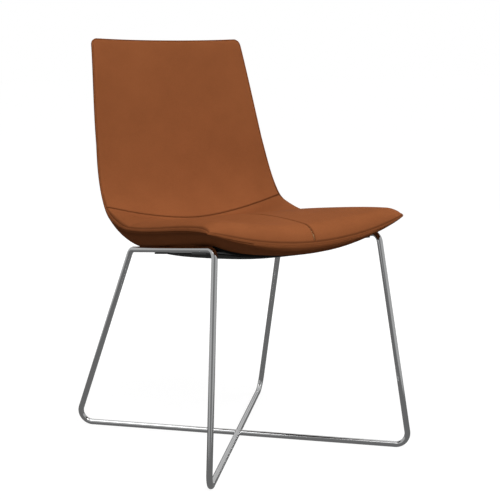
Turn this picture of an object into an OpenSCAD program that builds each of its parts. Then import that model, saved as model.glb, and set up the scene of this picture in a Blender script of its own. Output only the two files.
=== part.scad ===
// Guest chair: an upholstered one-piece seat and back shell on a crossed rod base.
// Millimetres. The sitter faces -Y, +X is to the sitter's left, +Z is up.
// The origin is on the floor, in the middle of the overall length and width.

/* [Side edge of the shell] */
// Height of the top corners of the back above the floor
back_top_z = 832.5; // [812:0.5:850]
// Distance of the top corners behind the middle of the base
back_top_y = 275.5; // [266:0.5:285]
// Width across the top corners
back_top_w = 374; // [360:1:388]
// Radius of the top corners
back_corner_r = 13; // [8:1:20]
// Height of the waist, where the side edges start to turn forward
waist_z = 610.5; // [600:0.5:620]
// Distance of the waist behind the middle of the base
waist_y = 215.5; // [206:0.5:224]
// Width across the waist
waist_w = 419; // [405:1:430]
// Height of the ends of the seam between back and seat
seam_z = 485.5; // [480:0.5:492]
// Distance of the ends of that seam behind the middle of the base
seam_y = 160.5; // [154:0.5:166]
// Width across the ends of that seam
seam_w = 444; // [434:1:452]
// Height of the lowest point of the seat's side edges
dip_z = 451.5; // [448:0.5:454]
// Distance of that lowest point behind the middle of the base
dip_y = 59; // [52:1:66]
// Width across the side edges there
dip_w = 455; // [448:1:464]
// Height of the front corners of the seat
corner_z = 481; // [477:0.5:485]
// Distance of the front corners before the middle of the base
corner_y = 251; // [244:0.5:256]
// Width across the front corners
corner_w = 463; // [452:1:470]

/* [Middle of the shell] */
// How far the back is hollowed at its top edge
top_hollow = 12; // [6:0.5:18]
// How far the back is hollowed at the waist
waist_hollow = 21.5; // [15:0.5:27]
// How far the middle of the seam between back and seat hangs below its ends
seam_sag = 35; // [30:1:40]
// Height of the seat's middle line at the lowest point of the side edges
seat_z = 459; // [456:0.5:462]
// Height of the seat's middle line just behind the front edge
seat_front_z = 475.5; // [471:0.5:480]
// Distance of the middle of the front edge before the middle of the base
front_y = 266.5; // [261:0.5:272]
// Height of the middle of the front edge
front_edge_z = 442.5; // [439:0.5:446]

/* [Roll of the padding at the edges] */
// Height that the back's padding falls to its edges
back_roll = 2.5; // [2:0.5:5]
// Height that the padding falls to the edges beside the seam
seam_roll = 2.5; // [2:0.5:5]
// Height that the seat's padding falls to its side edges
seat_roll = 16.5; // [14:0.5:20]
// Height that the seat's padding falls beside the front corners
corner_roll = 25; // [22:1:28]
// How much higher the seat's padding rolls beside the sitter's hips
hip_swell = 12; // [8:0.5:14]
// How much narrower that roll is
hip_narrow = 24; // [16:1:28]

/* [Thickness of the shell] */
// Thickness in the middle of the back near its top
top_t = 20; // [18:0.5:26]
// Thickness in the middle of the waist
waist_t = 27.5; // [24:0.5:32]
// Thickness in the middle of the seam
seam_t = 59; // [55:1:62]
// Thickness in the middle of the seat
seat_t = 56.5; // [54:0.5:58]
// Thickness in the middle of the seat behind the front edge
front_t = 64.5; // [61:0.5:67]
// Height of the leather wall round the edge of the back
rim_t = 6; // [5.5:0.25:7]
// Height of the leather wall round the edge of the seat
seat_rim_t = 3; // [2.5:0.25:4]
// Thickness of the leather with its backing
cover_t = 2; // [1.5:0.1:2.4]
// Thickness of the moulded inner shell
core_t = 8; // [6:0.5:9]
// Gap between neighbouring layers of the shell
layer_gap = 0.3; // [0.2:0.05:0.4]
// Width of the outer cover's edge that is seen from the front
rim_w = 2.5; // [2:0.1:3.5]

/* [Rod base] */
// Diameter of the rods
rod_d = 12; // [10:0.5:12.5]
// Distance between the floor corners from side to side, along the rods' middle lines
foot_w = 485; // [460:1:510]
// Distance between the floor corners from front to back, along the rods' middle lines
foot_l = 541; // [520:1:560]
// Distance of the side runs' front end in from the widest place of the seat
run_front_in = 32.5; // [30:0.5:36]
// Distance of the side runs' rear end in from the widest place of the seat
run_rear_in = 38.25; // [36:0.25:42]
// Distance of the side runs' front end before the middle of the base
run_front_y = 219; // [212:1:224]
// Distance of the side runs' rear end behind the middle of the base
run_rear_y = 112; // [106:1:118]
// Height of the side runs' middle line at the front end
run_front_z = 443; // [439:0.5:444]
// Height of the side runs' middle line at the rear end
run_rear_z = 400.5; // [396:0.5:402]
// Radius of the four bends at the floor, on the middle line
floor_bend_r = 25; // [20:1:30]
// Radius of the four bends under the seat, on the middle line
top_bend_r = 18; // [16:1:24]

/* [Straps and screws] */
// Width of the two flat straps that carry the shell
strap_w = 53; // [44:1:56]
// Thickness of the straps
strap_t = 3; // [2.5:0.25:3.5]
// Distance of the front strap before the middle of the base
front_strap_y = 164; // [158:1:168]
// Distance of the rear strap before the middle of the base
rear_strap_y = 18; // [10:1:26]
// Gap between the straps and the leather above them
strap_gap = 1.5; // [1:0.25:2]
// Distance between the left and right shell screws
screw_pitch = 110; // [100:2:116]
// Diameter of the shell screws
screw_d = 6; // [5:0.5:6]
// Length of the shell screws under the head
screw_l = 16; // [14:1:18]
// Diameter of the bosses under the inner shell
boss_d = 24; // [20:1:28]
// Diameter of the threaded inserts
insert_d = 9; // [8:0.5:10]
// Length of the threaded inserts
insert_l = 12; // [8:0.5:13]
// Radial clearance of a screw in its thread and of an insert in its boss
thread_gap = 0.05; // [0.02:0.01:0.1]
// Radial clearance of a screw in a plain hole
hole_gap = 0.35; // [0.2:0.05:0.5]

/* [Pan under the seat] */
// Half width of the pan as a share of the seat's half width
pan_share = 0.78; // [0.74:0.01:0.79]
// Depth of the pan below the leather
pan_depth = 21; // [19:0.5:23]
// Distance of the pan's front behind the front edge
pan_front_in = 70; // [66:1:74]
// Thickness of the pan's wall
pan_t = 2.2; // [2:0.1:2.5]
// Gap round each strap where it leaves the pan
pan_slot_gap = 0.8; // [0.5:0.1:1.2]
// Distance between the left and right pan screws
pan_screw_pitch = 56; // [50:2:62]
// Diameter of the pan screws
pan_screw_d = 4; // [3:0.5:4]
// Outer diameter of the pan's screw bosses
pan_boss_d = 13; // [12:0.5:15]

/* [Hidden] */

leather = [0.56, 0.33, 0.19];
foam = [0.93, 0.87, 0.62];
steel = [0.72, 0.73, 0.75];
black = [0.04, 0.04, 0.045];
brass = [0.80, 0.66, 0.36];
moulding = [0.25, 0.26, 0.28];

rod_r = rod_d / 2;
round_fn = 48;
small_fn = 32;

// Places along the shell: 0 top edge, 1 waist, 2 seam, 3 lowest point of the seat edge, 4 front.
seam_s = 2;
last_s = 4;
// How far past the seam the pan starts
pan_from_seam = 1;
// Direction in which the back is hollowed, in degrees below straight back
lean_hollow = 16;
// How far the middle of that seam lies behind its ends
seam_set_back = -4;
// Directions at the five places, in degrees: 0 is straight down and 90 straight forward
edge_turns = [17, 16.5, 40, 91.5, 90.5];
middle_turns = [14.5, 18, 57.5, 105, 85];
// Each place of the side edge: y, z, direction, half width
edge_nodes = [[back_top_y, back_top_z, edge_turns[0], back_top_w / 2],
    [waist_y, waist_z, edge_turns[1], waist_w / 2],
    [seam_y, seam_z, edge_turns[2], seam_w / 2],
    [dip_y, dip_z, edge_turns[3], dip_w / 2],
    [-corner_y, corner_z, edge_turns[4], corner_w / 2]];
// Each place of the middle line: y, z, direction
hollow_y = cos(lean_hollow);
hollow_z = -sin(lean_hollow);
middle_nodes = [
    [back_top_y + top_hollow * hollow_y, back_top_z + top_hollow * hollow_z, middle_turns[0]],
    [waist_y + waist_hollow * hollow_y, waist_z + waist_hollow * hollow_z, middle_turns[1]],
    [seam_y + seam_set_back, seam_z - seam_sag, middle_turns[2]],
    [dip_y, seat_z, middle_turns[3]],
    [-front_y, seat_front_z, middle_turns[4]]];
roll_nodes = [back_roll, back_roll, seam_roll, seat_roll, corner_roll];
thick_nodes = [top_t, waist_t, seam_t, seat_t, front_t];
wall_nodes = [rim_t, rim_t, (rim_t + seat_rim_t) / 2, seat_rim_t, seat_rim_t];
// Width of the strip along the edge in which the padding rolls down
strip_nodes = [20, 20, 30, 88, 57];
// How sharply the hollow rises to the edges, and how square the underside is
hollow_power = [2.2, 2.2, 1.7, 1.6, 1.85];
belly_power = [3, 2.8, 4.6, 5.7, 2];
front_power = 6.6;
// Width of the strips along the front and top edges in which the faces curve to them
front_strip = 34;
front_belly_strip = 82;
top_strip = 20;
top_belly_strip = 60;
// Only this far past the seam do the faces look for the front edge
front_from = seam_s + 0.5;

// Cubic through a and b with the directions ta and tb, which are angles from straight down
function heading(a) = [-sin(a), -cos(a)];
function cubic(a, ta, b, tb, u) = let(l = norm(b - a))
    (2 * u * u * u - 3 * u * u + 1) * a + (u * u * u - 2 * u * u + u) * l * heading(ta)
    + (3 * u * u - 2 * u * u * u) * b + (u * u * u - u * u) * l * heading(tb);
function curve_at(nodes, s) = let(i = min(floor(s), len(nodes) - 2), a = nodes[i], b = nodes[i + 1])
    cubic([a[0], a[1]], a[2], [b[0], b[1]], b[2], s - i);
// Smooth value between the nodes of a list
function value_at(list, s) = let(i = min(floor(s), len(list) - 2), u = s - i,
        b = list[i], c = list[i + 1],
        a = i > 0 ? list[i - 1] : 2 * b - c, d = i + 2 < len(list) ? list[i + 2] : 2 * c - b)
    0.5 * (2 * b + (c - a) * u + (2 * a - 5 * b + 4 * c - d) * u * u
        + (3 * b - a - 3 * c + d) * u * u * u);
function unit(v) = v / norm(v);
function fall(k) = 1 - sqrt(max(0, 1 - k * k));
half_widths = [for (n = edge_nodes) n[3]];
small_step = 0.001;
function sitter_normal(s) = let(a = max(s - small_step, 0), b = min(s + small_step, last_s),
        d = curve_at(edge_nodes, b) - curve_at(edge_nodes, a)
            + curve_at(middle_nodes, b) - curve_at(middle_nodes, a), t = unit(d))
    [t[1], -t[0]];

// All that the surfaces need at one place along the shell
function place(s) = let(edge = curve_at(edge_nodes, s), mid = curve_at(middle_nodes, s),
        from_top = norm(mid - curve_at(middle_nodes, 0)),
        w = value_at(half_widths, s),
        cut = from_top < back_corner_r
            ? back_corner_r - sqrt(pow(back_corner_r, 2) - pow(back_corner_r - from_top, 2)) : 0)
    [s, edge, mid, sitter_normal(s), w - cut, from_top, w];

// Share of the way from the middle line to the edge, in height and in length
function rise(p, v) = pow(abs(v), value_at(hollow_power, p[0]));
function reach(p, v) = let(g = rise(p, v), f = max(p[0] - last_s + 1, 0))
    g * (1 - f) + pow(abs(v), front_power) * f;
function crease_sheet(p, v) = let(g = rise(p, v), r = reach(p, v))
    [p[2][0] * (1 - r) + p[1][0] * r, p[2][1] * (1 - g) + p[1][1] * g];
// A rise from 0 to 1 and back, between the seam and the lowest point of the seat's edge
function hump(s) = let(u = min(max(s - seam_s, 0), 1)) 4 * u * (1 - u);
// The padded face before the front edge rolls over
function padded(p, v) = let(s = p[0], drop = value_at(roll_nodes, s) + hip_swell * hump(s),
        strip = value_at(strip_nodes, s) - hip_narrow * hump(s),
        side = max(1 - (1 - abs(v)) * p[6] / strip, 0),
        top = max(1 - p[5] / top_strip, 0), k = min(sqrt(side * side + top * top), 1))
    crease_sheet(p, v) + p[3] * drop * (rise(p, v) - fall(k))
        + [p[3][0] * drop * (reach(p, v) - rise(p, v)), 0];
front_place = place(last_s);
function front_crease_z(v) = front_edge_z + (corner_z - front_edge_z) * v * v;
function from_front(p, v) = padded(p, v)[0] - padded(front_place, v)[0];
function near_front(p, v, strip) = p[0] > front_from ? max(1 - from_front(p, v) / strip, 0) : 0;
// Point of the padded face, at the share v of the half width
function face_point(p, v) = let(q = padded(p, v), k = min(near_front(p, v, front_strip), 1),
        gap = padded(front_place, v)[1] - front_crease_z(v))
    [v * p[4], q[0], q[1] - gap * fall(k)];
// Point of the outer face
function outer_point(p, v) = let(s = p[0], q = crease_sheet(p, v), wall = value_at(wall_nodes, s),
        top = max(1 - p[5] / top_belly_strip, 0), swell = 1 - fall(top),
        full = wall + (value_at(thick_nodes, s) - wall) * (1 - pow(abs(v), value_at(belly_power, s)))
            * swell,
        k = min(near_front(p, v, front_belly_strip), 1), f = fall(k),
        edge = q[1] - front_crease_z(v) + wall,
        t = edge * f + full * (1 - f), back = q - p[3] * t)
    [v * p[4], back[0], back[1]];

// Depth of each layer's faces below the padded face, where the shell is l thick
pad_share = 0.6;
core_share = 0.5;
least_free = 0.2;
function depths(l) = let(c = cover_t, g = layer_gap, free = max(l - 2 * c - 4 * g, least_free),
        core = min(core_t, free * core_share), pad = (free - core) * pad_share,
        rest = free - core - pad)
    [0, c, c + g, c + g + pad, c + 2 * g + pad, c + 2 * g + pad + core,
        c + 3 * g + pad + core, c + 3 * g + pad + core + rest, l - c, l];
function layer_point(p, v, k) = let(a = face_point(p, v), b = outer_point(p, v), l = norm(b - a))
    a + (b - a) * depths(l)[k] / l;
function layer_sheet(ss, vs, k) = [for (s = ss) let(p = place(s)) [for (v = vs) layer_point(p, v, k)]];

// Distances along the shell near its two ends, and across it, as shares
top_length = norm([for (i = [0, 1]) middle_nodes[1][i] - middle_nodes[0][i]]);
front_length = dip_y + front_y;
function top_place(e) = e / top_length;
function front_place_at(e) = last_s - e / front_length;
function across(e) = 1 - e / (dip_w / 2);

// A closed solid between two grids of points, the upper one on the sitter's side
module slab(upper, lower) {
    m = len(upper);
    n = len(upper[0]);
    function at(i, j, side) = side * m * n + i * n + j;
    function quad(a, b, c, d) = [[a, b, c], [a, c, d]];
    points = concat([for (row = upper) each row], [for (row = lower) each row]);
    tops = [for (i = [0 : m - 2]) for (j = [0 : n - 2])
        each quad(at(i, j, 0), at(i, j + 1, 0), at(i + 1, j + 1, 0), at(i + 1, j, 0))];
    bottoms = [for (i = [0 : m - 2]) for (j = [0 : n - 2])
        each quad(at(i, j, 1), at(i + 1, j, 1), at(i + 1, j + 1, 1), at(i, j + 1, 1))];
    sides = [for (i = [0 : m - 2])
        each concat(quad(at(i, 0, 0), at(i + 1, 0, 0), at(i + 1, 0, 1), at(i, 0, 1)),
            quad(at(i, n - 1, 0), at(i, n - 1, 1), at(i + 1, n - 1, 1), at(i + 1, n - 1, 0)))];
    ends = [for (j = [0 : n - 2])
        each concat(quad(at(0, j, 0), at(0, j, 1), at(0, j + 1, 1), at(0, j + 1, 0)),
            quad(at(m - 1, j, 0), at(m - 1, j + 1, 0), at(m - 1, j + 1, 1), at(m - 1, j, 1)))];
    polyhedron(points, concat(tops, bottoms, sides, ends), convexity = 6);
}
// Shares between two ends: closer together at b, even, and closer together at both ends
function spread(a, b, n) = [for (i = [0 : n]) a + (b - a) * sin(90 * i / n)];
function even(a, b, n) = [for (i = [0 : n]) a + (b - a) * i / n];
function both_ways(e, n) = [for (i = [0 : n]) e * sin(180 * i / n - 90)];

// Where the covers and pads end, measured in from the edge of the shell
cover_in = rim_w + layer_gap;
pad_in = 8;
core_in = 13;
seam_half_gap = 0.3;
seam_step = seam_half_gap / norm([seam_y - dip_y, seam_z - dip_z]);
back_rows = 12;
seat_rows = 13;
back_columns = 12;
seat_columns = 14;

module back_layer(upper, lower, inset, columns) {
    ss = even(top_place(inset), seam_s - seam_step, back_rows);
    vs = both_ways(across(inset), columns);
    slab(layer_sheet(ss, vs, upper), layer_sheet(ss, vs, lower));
}
// Rows and columns that the seat's covers and its foam share, so that their facets lie alike
seat_ss = spread(seam_s + seam_step, front_place_at(cover_in), seat_rows);
seat_middle = seam_half_gap / (dip_w / 2);
seat_vs = spread(seat_middle, across(cover_in), seat_columns / 2);
shared_step = 0.01;
function within(list, last) = concat([for (q = list) if (q < last - shared_step) q], [last]);
function mirrored(list) = [for (i = [len(list) - 1 : -1 : 0]) -list[i]];
module seat_layer(upper, lower, ss, vs) {
    slab(layer_sheet(ss, vs, upper), layer_sheet(ss, vs, lower));
}
module whole_layer(upper, lower, inset, columns) {
    ss = rows_of(inset);
    vs = both_ways(across(inset), columns);
    slab(layer_sheet(ss, vs, upper), layer_sheet(ss, vs, lower));
}

module back_cover() color(leather) back_layer(0, 1, cover_in, back_columns);
module back_foam() color(foam) back_layer(2, 3, pad_in, back_columns);
module seat_cover_left() color(leather) seat_layer(0, 1, seat_ss, mirrored(seat_vs));
module seat_cover_right() color(leather) seat_layer(0, 1, seat_ss, seat_vs);
module seat_foam() color(foam) {
    vs = within(seat_vs, across(pad_in));
    seat_layer(2, 3, within(seat_ss, front_place_at(pad_in)), concat(mirrored(vs), vs));
}

// The outer cover is a tray: its edge turns round the rim of the shell up to the front covers
wall_lean = 0.3;
function rows_of(inset) = concat(even(top_place(inset), seam_s, back_rows),
    [for (i = [1 : seat_rows]) spread(seam_s, front_place_at(inset), seat_rows)[i]]);
outer_rows = concat([0, top_place(rim_w)], rows_of(rim_w + wall_lean), [front_place_at(rim_w), last_s]);
outer_columns = concat([-1, -across(rim_w)], both_ways(across(rim_w + wall_lean), seat_columns),
    [across(rim_w), 1]);
leather_in = 8;
leather_out = 9;
module outer_cover() color(leather) difference() {
    m = len(outer_rows) - 1;
    n = len(outer_columns) - 1;
    places = [for (s = outer_rows) place(s)];
    upper = [for (i = [0 : m]) [for (j = [0 : n]) layer_point(places[i], outer_columns[j],
        i < 2 || i > m - 2 || j < 2 || j > n - 2 ? 0 : leather_in)]];
    lower = [for (i = [0 : m])
        [for (j = [0 : n]) layer_point(places[i], outer_columns[j], leather_out)]];
    slab(upper, lower);
    at_bosses() boss_hole();
}
module outer_foam() color(foam) difference() {
    whole_layer(6, 7, pad_in, seat_columns);
    at_bosses() boss_hole();
}

// The straps lie in the plane of the side runs, which fall to the rear
run_front_w = dip_w - 2 * run_front_in;
run_rear_w = dip_w - 2 * run_rear_in;
run_slope = atan((run_front_z - run_rear_z) / (run_front_y + run_rear_y));
function run_z(y) = run_front_z - (y + run_front_y) * tan(run_slope);
function run_half_w(y) = (run_front_w + (run_rear_w - run_front_w) * (y + run_front_y)
    / (run_front_y + run_rear_y)) / 2;
module on_runs(y) {
    translate([0, y, run_z(y)]) rotate([-run_slope, 0, 0]) children();
}
// Lines below the seat, along one share of its width, on the leather or on the inner shell's under face
line_steps = 24;
core_under = 5;
function leather_line(v) = [for (s = even(last_s, seam_s, line_steps))
    let(q = outer_point(place(s), v)) [q[1], q[2]]];
function core_line(v) = [for (s = even(last_s, seam_s, line_steps))
    let(q = layer_point(place(s), v, core_under)) [q[1], q[2]]];
// Heights over the plane of the runs
function over_runs(line, y) = (lookup(y, line) - run_z(y)) * cos(run_slope);
function three_over_runs(line, y, reach) = [for (e = [-reach, 0, reach]) over_runs(line, y + e)];
function under_belly(x, y) = min(three_over_runs(leather_line(x / (dip_w / 2)), y, strap_w / 2)) - strap_gap;
strap_places = [-front_strap_y, -rear_strap_y];
strap_tops = [for (y = strap_places) under_belly(0, y)];
// Lengths of the straps' parts from the rods inwards, which end at the foot, the knee and the flat
strap_land = 24.25;
strap_ramp = 43;
strap_rise = 56;
strap_foot = run_rear_w / 2 - strap_land;
strap_knee = strap_foot - strap_ramp;
strap_flat = strap_knee - strap_rise;
knee_gap = 1;
// How far the straps reach past the rods' middle lines
strap_over = 2;

module strap_outline(k, grow) {
    y = strap_places[k];
    knee = min(under_belly(strap_knee, y) - knee_gap, -rod_r);
    half = [[run_half_w(y) + strap_over + grow, -rod_r], [strap_foot, -rod_r],
        [strap_knee, knee], [strap_flat, strap_tops[k]]];
    upper = concat(half, [for (i = [3 : -1 : 0]) [-half[i][0], half[i][1]]]);
    polygon(concat([for (q = upper) q + [0, grow]],
        [for (i = [7 : -1 : 0]) upper[i] - [0, strap_t + grow]]));
}
module strap_bar(k, grow) rotate([90, 0, 0]) linear_extrude(strap_w + 2 * grow, center = true)
    strap_outline(k, grow);
// Every cut runs this far past what it cuts
over = 1;
// Calls its children at both ends of a distance across the chair
module pair(pitch) for (side = [-1, 1]) translate([side * pitch / 2, 0, 0]) children();
module strap(k) color(steel) on_runs(strap_places[k]) difference() {
    strap_bar(k, 0);
    translate([0, 0, strap_tops[k] - strap_t - over]) {
        pair(screw_pitch) cylinder(h = strap_t + 2 * over, r = screw_d / 2 + hole_gap, $fn = small_fn);
        pair(pan_screw_pitch)
            cylinder(h = strap_t + 2 * over, r = pan_screw_d / 2 + thread_gap, $fn = small_fn);
    }
}
module front_strap() strap(0);
module rear_strap() strap(1);

// A weld fillet along the inner side of each rod on the straps
weld_end = 4;
weld_l = strap_w - 2 * weld_end;
weld_gap_r = 0.02;
// Corners of the fillet, in radii of the rod
weld_corners = [[0, -1], [0.75, -1], [0.78, -0.5], [0, 0]];
run_turn = atan((run_front_w - run_rear_w) / 2 / (run_front_y + run_rear_y));
module weld_bead() rotate([90, 0, 0]) linear_extrude(weld_l, center = true) difference() {
    polygon(weld_corners * rod_r);
    circle(r = rod_r + weld_gap_r, $fn = round_fn);
}
module strap_welds() color(steel) for (k = [0, 1]) on_runs(strap_places[k])
    for (side = [-1, 1]) translate([side * run_half_w(strap_places[k]), 0, 0])
        mirror([side > 0 ? 1 : 0, 0, 0]) rotate([0, 0, -run_turn]) weld_bead();

// Places of the shell screws, with the top of the strap at z = 0 of each
module at_bosses() for (k = [0, 1]) on_runs(strap_places[k]) translate([0, 0, strap_tops[k]])
    pair(screw_pitch) children();
boss_gap = 0.5;
boss_reach = 34;
boss_hole_h = boss_reach + boss_d / 2;
module boss_hole() translate([0, 0, boss_reach - boss_hole_h])
    cylinder(h = boss_hole_h, r = boss_d / 2 + boss_gap, $fn = round_fn);
// Height of each boss, up into the inner shell beside the screw
boss_core_line = core_line(screw_pitch / dip_w);
boss_h = [for (k = [0, 1]) over_runs(boss_core_line, strap_places[k]) - strap_tops[k] + core_t / 2];

module inner_shell() color(moulding) difference() {
    union() {
        whole_layer(4, core_under, core_in, seat_columns);
        for (k = [0, 1]) on_runs(strap_places[k]) translate([0, 0, strap_tops[k]])
            pair(screw_pitch) cylinder(h = boss_h[k], r = boss_d / 2, $fn = round_fn);
    }
    at_bosses() translate([0, 0, -over]) {
        cylinder(h = insert_l + over + thread_gap, r = insert_d / 2 + thread_gap, $fn = small_fn);
        cylinder(h = screw_l + 2 * over, r = screw_d / 2 + hole_gap, $fn = small_fn);
    }
}
module threaded_inserts() color(brass) at_bosses() difference() {
    cylinder(h = insert_l, r = insert_d / 2, $fn = small_fn);
    translate([0, 0, -over])
        cylinder(h = insert_l + 2 * over, r = screw_d / 2 + thread_gap, $fn = small_fn);
}

// Button head screws with a hexagon socket, and their washers
washer_t = 1;
washer_r = screw_d;
head_h = 2.8;
head_r = screw_d * 0.88;
socket_r = screw_d * 0.38;
socket_deep = 2;
// Corners of the head's round edge, in shares of its radius and height
head_corners = [[0, 1], [0.55, 1], [0.85, 0.7], [1, 0.25], [1, 0], [0, 0]];
module shell_screws() color(steel) at_bosses() translate([0, 0, -strap_t - washer_t]) difference() {
    union() {
        cylinder(h = screw_l, r = screw_d / 2, $fn = small_fn);
        rotate_extrude($fn = round_fn) polygon([for (q = head_corners) [q[0] * head_r, -q[1] * head_h]]);
    }
    translate([0, 0, -head_h - over]) cylinder(h = socket_deep + over, r = socket_r, $fn = 6);
}
module shell_washers() color(steel) at_bosses() translate([0, 0, -strap_t - washer_t]) difference() {
    cylinder(h = washer_t, r = washer_r, $fn = round_fn);
    translate([0, 0, -over])
        cylinder(h = washer_t + 2 * over, r = screw_d / 2 + hole_gap, $fn = small_fn);
}

// The pan hangs below the leather: its rim lies against the leather, its floor is deeper
pan_front_s = front_place_at(pan_front_in);
pan_rear_s = seam_s + pan_from_seam;
pan_rows = 14;
pan_columns = 12;
pan_edge = 2.5;
// How square the pan's floor is across and along the seat
pan_across = 3.5;
pan_along = 2;
// How much shallower the pan is at its front, as a share of its depth
pan_taper = 0.12;
function pan_bulge(a, power) = sqrt(max(1 - pow(abs(a), power), 0));
// a runs across the pan and b along it, both from -1 to 1 at its edges, and b is 1 at the front
function pan_off(a, b) = pan_edge + (pan_depth * (1 - pan_taper * (1 + b) / 2) - pan_edge)
    * pan_bulge(a, pan_across) * pan_bulge(b, pan_along);
function pan_place(b) = place(pan_front_s + (pan_rear_s - pan_front_s) * (1 - b) / 2);
function pan_point(p, a, b, inner) = let(q = outer_point(p, a * pan_share),
        off = inner ? max(pan_off(a, b) - pan_t, layer_gap) : pan_off(a, b))
    [q[0], q[1] - p[3][0] * off, q[2] - p[3][1] * off];
pan_bs = both_ways(1, pan_rows);
function pan_sheet(inner) = let(as = both_ways(1, pan_columns))
    [for (b = pan_bs) let(p = pan_place(b)) [for (a = as) pan_point(p, a, b, inner)]];
// The pan's screws, with the underside of the strap at z = 0 of each
pan_seat = 2.2;
pan_head_r = pan_screw_d;
pan_head_h = 2.4;
pan_socket_r = pan_head_r * 0.45;
pan_socket_deep = 1.2;
pan_screw_short = 0.5;
well_reach = 30;
// Gap round a washer in the hole through which its screw is reached
access_gap = 1.5;
module at_pan_screws() for (k = [0, 1]) on_runs(strap_places[k])
    translate([0, 0, strap_tops[k] - strap_t]) pair(pan_screw_pitch) children();
// Each boss ends halfway into the pan's floor
boss_a = pan_screw_pitch / dip_w / pan_share;
pan_line = [for (b = pan_bs) let(q = pan_point(pan_place(-b), boss_a, -b, false)) [q[1], q[2]]];
pan_boss_h = [for (k = [0, 1]) strap_tops[k] - strap_t - pan_t / 2
    - max(three_over_runs(pan_line, strap_places[k], pan_boss_d / 2))];
module under_pan() color(black) difference() {
    union() {
        difference() {
            slab(pan_sheet(true), pan_sheet(false));
            for (k = [0, 1]) on_runs(strap_places[k]) strap_bar(k, pan_slot_gap);
        }
        for (k = [0, 1]) on_runs(strap_places[k])
            translate([0, 0, strap_tops[k] - strap_t - pan_boss_h[k]]) pair(pan_screw_pitch)
                cylinder(h = pan_boss_h[k], r = pan_boss_d / 2, $fn = small_fn);
    }
    at_bosses() translate([0, 0, -strap_t - well_reach])
        cylinder(h = well_reach, r = washer_r + access_gap, $fn = small_fn);
    at_pan_screws() {
        translate([0, 0, -well_reach])
            cylinder(h = well_reach + over, r = pan_screw_d / 2 + hole_gap, $fn = small_fn);
        translate([0, 0, -pan_seat - well_reach])
            cylinder(h = well_reach, r = pan_head_r + hole_gap, $fn = small_fn);
    }
}
module pan_screws() color(black) at_pan_screws() difference() {
    translate([0, 0, -pan_seat]) {
        cylinder(h = pan_seat + strap_t - pan_screw_short, r = pan_screw_d / 2, $fn = small_fn);
        translate([0, 0, -pan_head_h]) cylinder(h = pan_head_h, r = pan_head_r, $fn = small_fn);
    }
    translate([0, 0, -pan_seat - pan_head_h - over])
        cylinder(h = pan_socket_deep + over, r = pan_socket_r, $fn = 6);
}

// The base is one long rod and two short ones, which meet its sides at the crossing
function tangent_length(a, b, c, r) = r / tan(acos(unit(a - b) * unit(c - b)) / 2);
// A bend is a hair thicker than the straights, which run a little way into it
bend_swell = 0.02;
bend_lap = 0.25;
// Draws the straight that leaves point i, the bend after it and then the rest of the rod
module rod_from(points, radii, i, x_axis) {
    d = unit(points[i + 1] - points[i]);
    last = i + 2 == len(points);
    before = i == 0 ? 0 : tangent_length(points[i - 1], points[i], points[i + 1], radii[i]);
    after = last ? 0 : tangent_length(points[i], points[i + 1], points[i + 2], radii[i + 1]);
    l = norm(points[i + 1] - points[i]) - before - after;
    lap_before = i == 0 ? 0 : bend_lap;
    lap_after = last ? 0 : bend_lap;
    translate([0, 0, -lap_before])
        cylinder(h = l + lap_before + lap_after, r = rod_r, $fn = round_fn);
    if (!last) {
        next = unit(points[i + 2] - points[i + 1]);
        inward = unit(next - (next * d) * d);
        roll = atan2(inward * cross(d, x_axis), inward * x_axis);
        turn = acos(next * d);
        r = radii[i + 1];
        translate([0, 0, l]) rotate([0, 0, roll]) {
            translate([r, 0, 0]) rotate([90, 0, 180]) rotate_extrude(angle = turn, $fn = 2 * round_fn)
                translate([r, 0]) circle(r = rod_r + bend_swell, $fn = round_fn);
            translate([r, 0, 0]) rotate([0, turn, 0]) translate([-r, 0, 0])
                rod_from(points, radii, i + 1, inward * cos(turn) - d * sin(turn));
        }
    }
}
module bent_rod(points, radii) {
    d = unit(points[1] - points[0]);
    x_axis = unit(cross(d, [0, 0, 1]));
    y_axis = cross(d, x_axis);
    multmatrix([[x_axis[0], y_axis[0], d[0], points[0][0]],
        [x_axis[1], y_axis[1], d[1], points[0][1]],
        [x_axis[2], y_axis[2], d[2], points[0][2]], [0, 0, 0, 1]])
        rod_from(points, radii, 0, x_axis);
}
butt_y = -front_strap_y;
function run_point(y, side) = [side * run_half_w(y), y, run_z(y)];
foot_z = rod_r + bend_swell;
function foot_point(side, end) = [side * foot_w / 2, end * foot_l / 2, foot_z];
crossing = [0, 0, foot_z];
module long_base_rod() color(steel) bent_rod([run_point(butt_y, -1), run_point(run_rear_y, -1),
    foot_point(-1, 1), foot_point(1, -1), run_point(-run_front_y, 1), run_point(butt_y, 1)],
    [0, top_bend_r, floor_bend_r, floor_bend_r, top_bend_r, 0]);
weld_gap = 0.05;
module cope() translate(crossing) rotate([0, 0, atan(foot_l / -foot_w)]) rotate([0, 90, 0])
    cylinder(h = foot_w / 2, r = rod_r + weld_gap, center = true, $fn = round_fn);
module rear_base_rod() color(steel) difference() {
    bent_rod([run_point(butt_y, 1), run_point(run_rear_y, 1), foot_point(1, 1), crossing],
        [0, top_bend_r, floor_bend_r, 0]);
    cope();
}
module front_base_rod() color(steel) difference() {
    bent_rod([run_point(butt_y, -1), run_point(-run_front_y, -1), foot_point(-1, -1), crossing],
        [0, top_bend_r, floor_bend_r, 0]);
    cope();
}

rear_most = max([for (s = outer_rows) outer_point(place(s), 0)[1]]);
// How far the outside of a bend reaches in the direction e
function bend_reach(a, b, c, r, e) = let(u = unit(a - b), axis = unit(cross(a - b, c - b)),
        centre = b + u * tangent_length(a, b, c, r) + unit(cross(axis, u)) * r)
    centre * e + r * sqrt(1 - pow(e * axis, 2)) + rod_r + bend_swell;
foot_reach = bend_reach(run_point(-run_front_y, 1), foot_point(1, -1), crossing, floor_bend_r, [0, -1, 0]);
front_most = -max(front_y, foot_reach);
shift = -(rear_most + front_most) / 2;
module placed() translate([0, shift, 0]) children();

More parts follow.
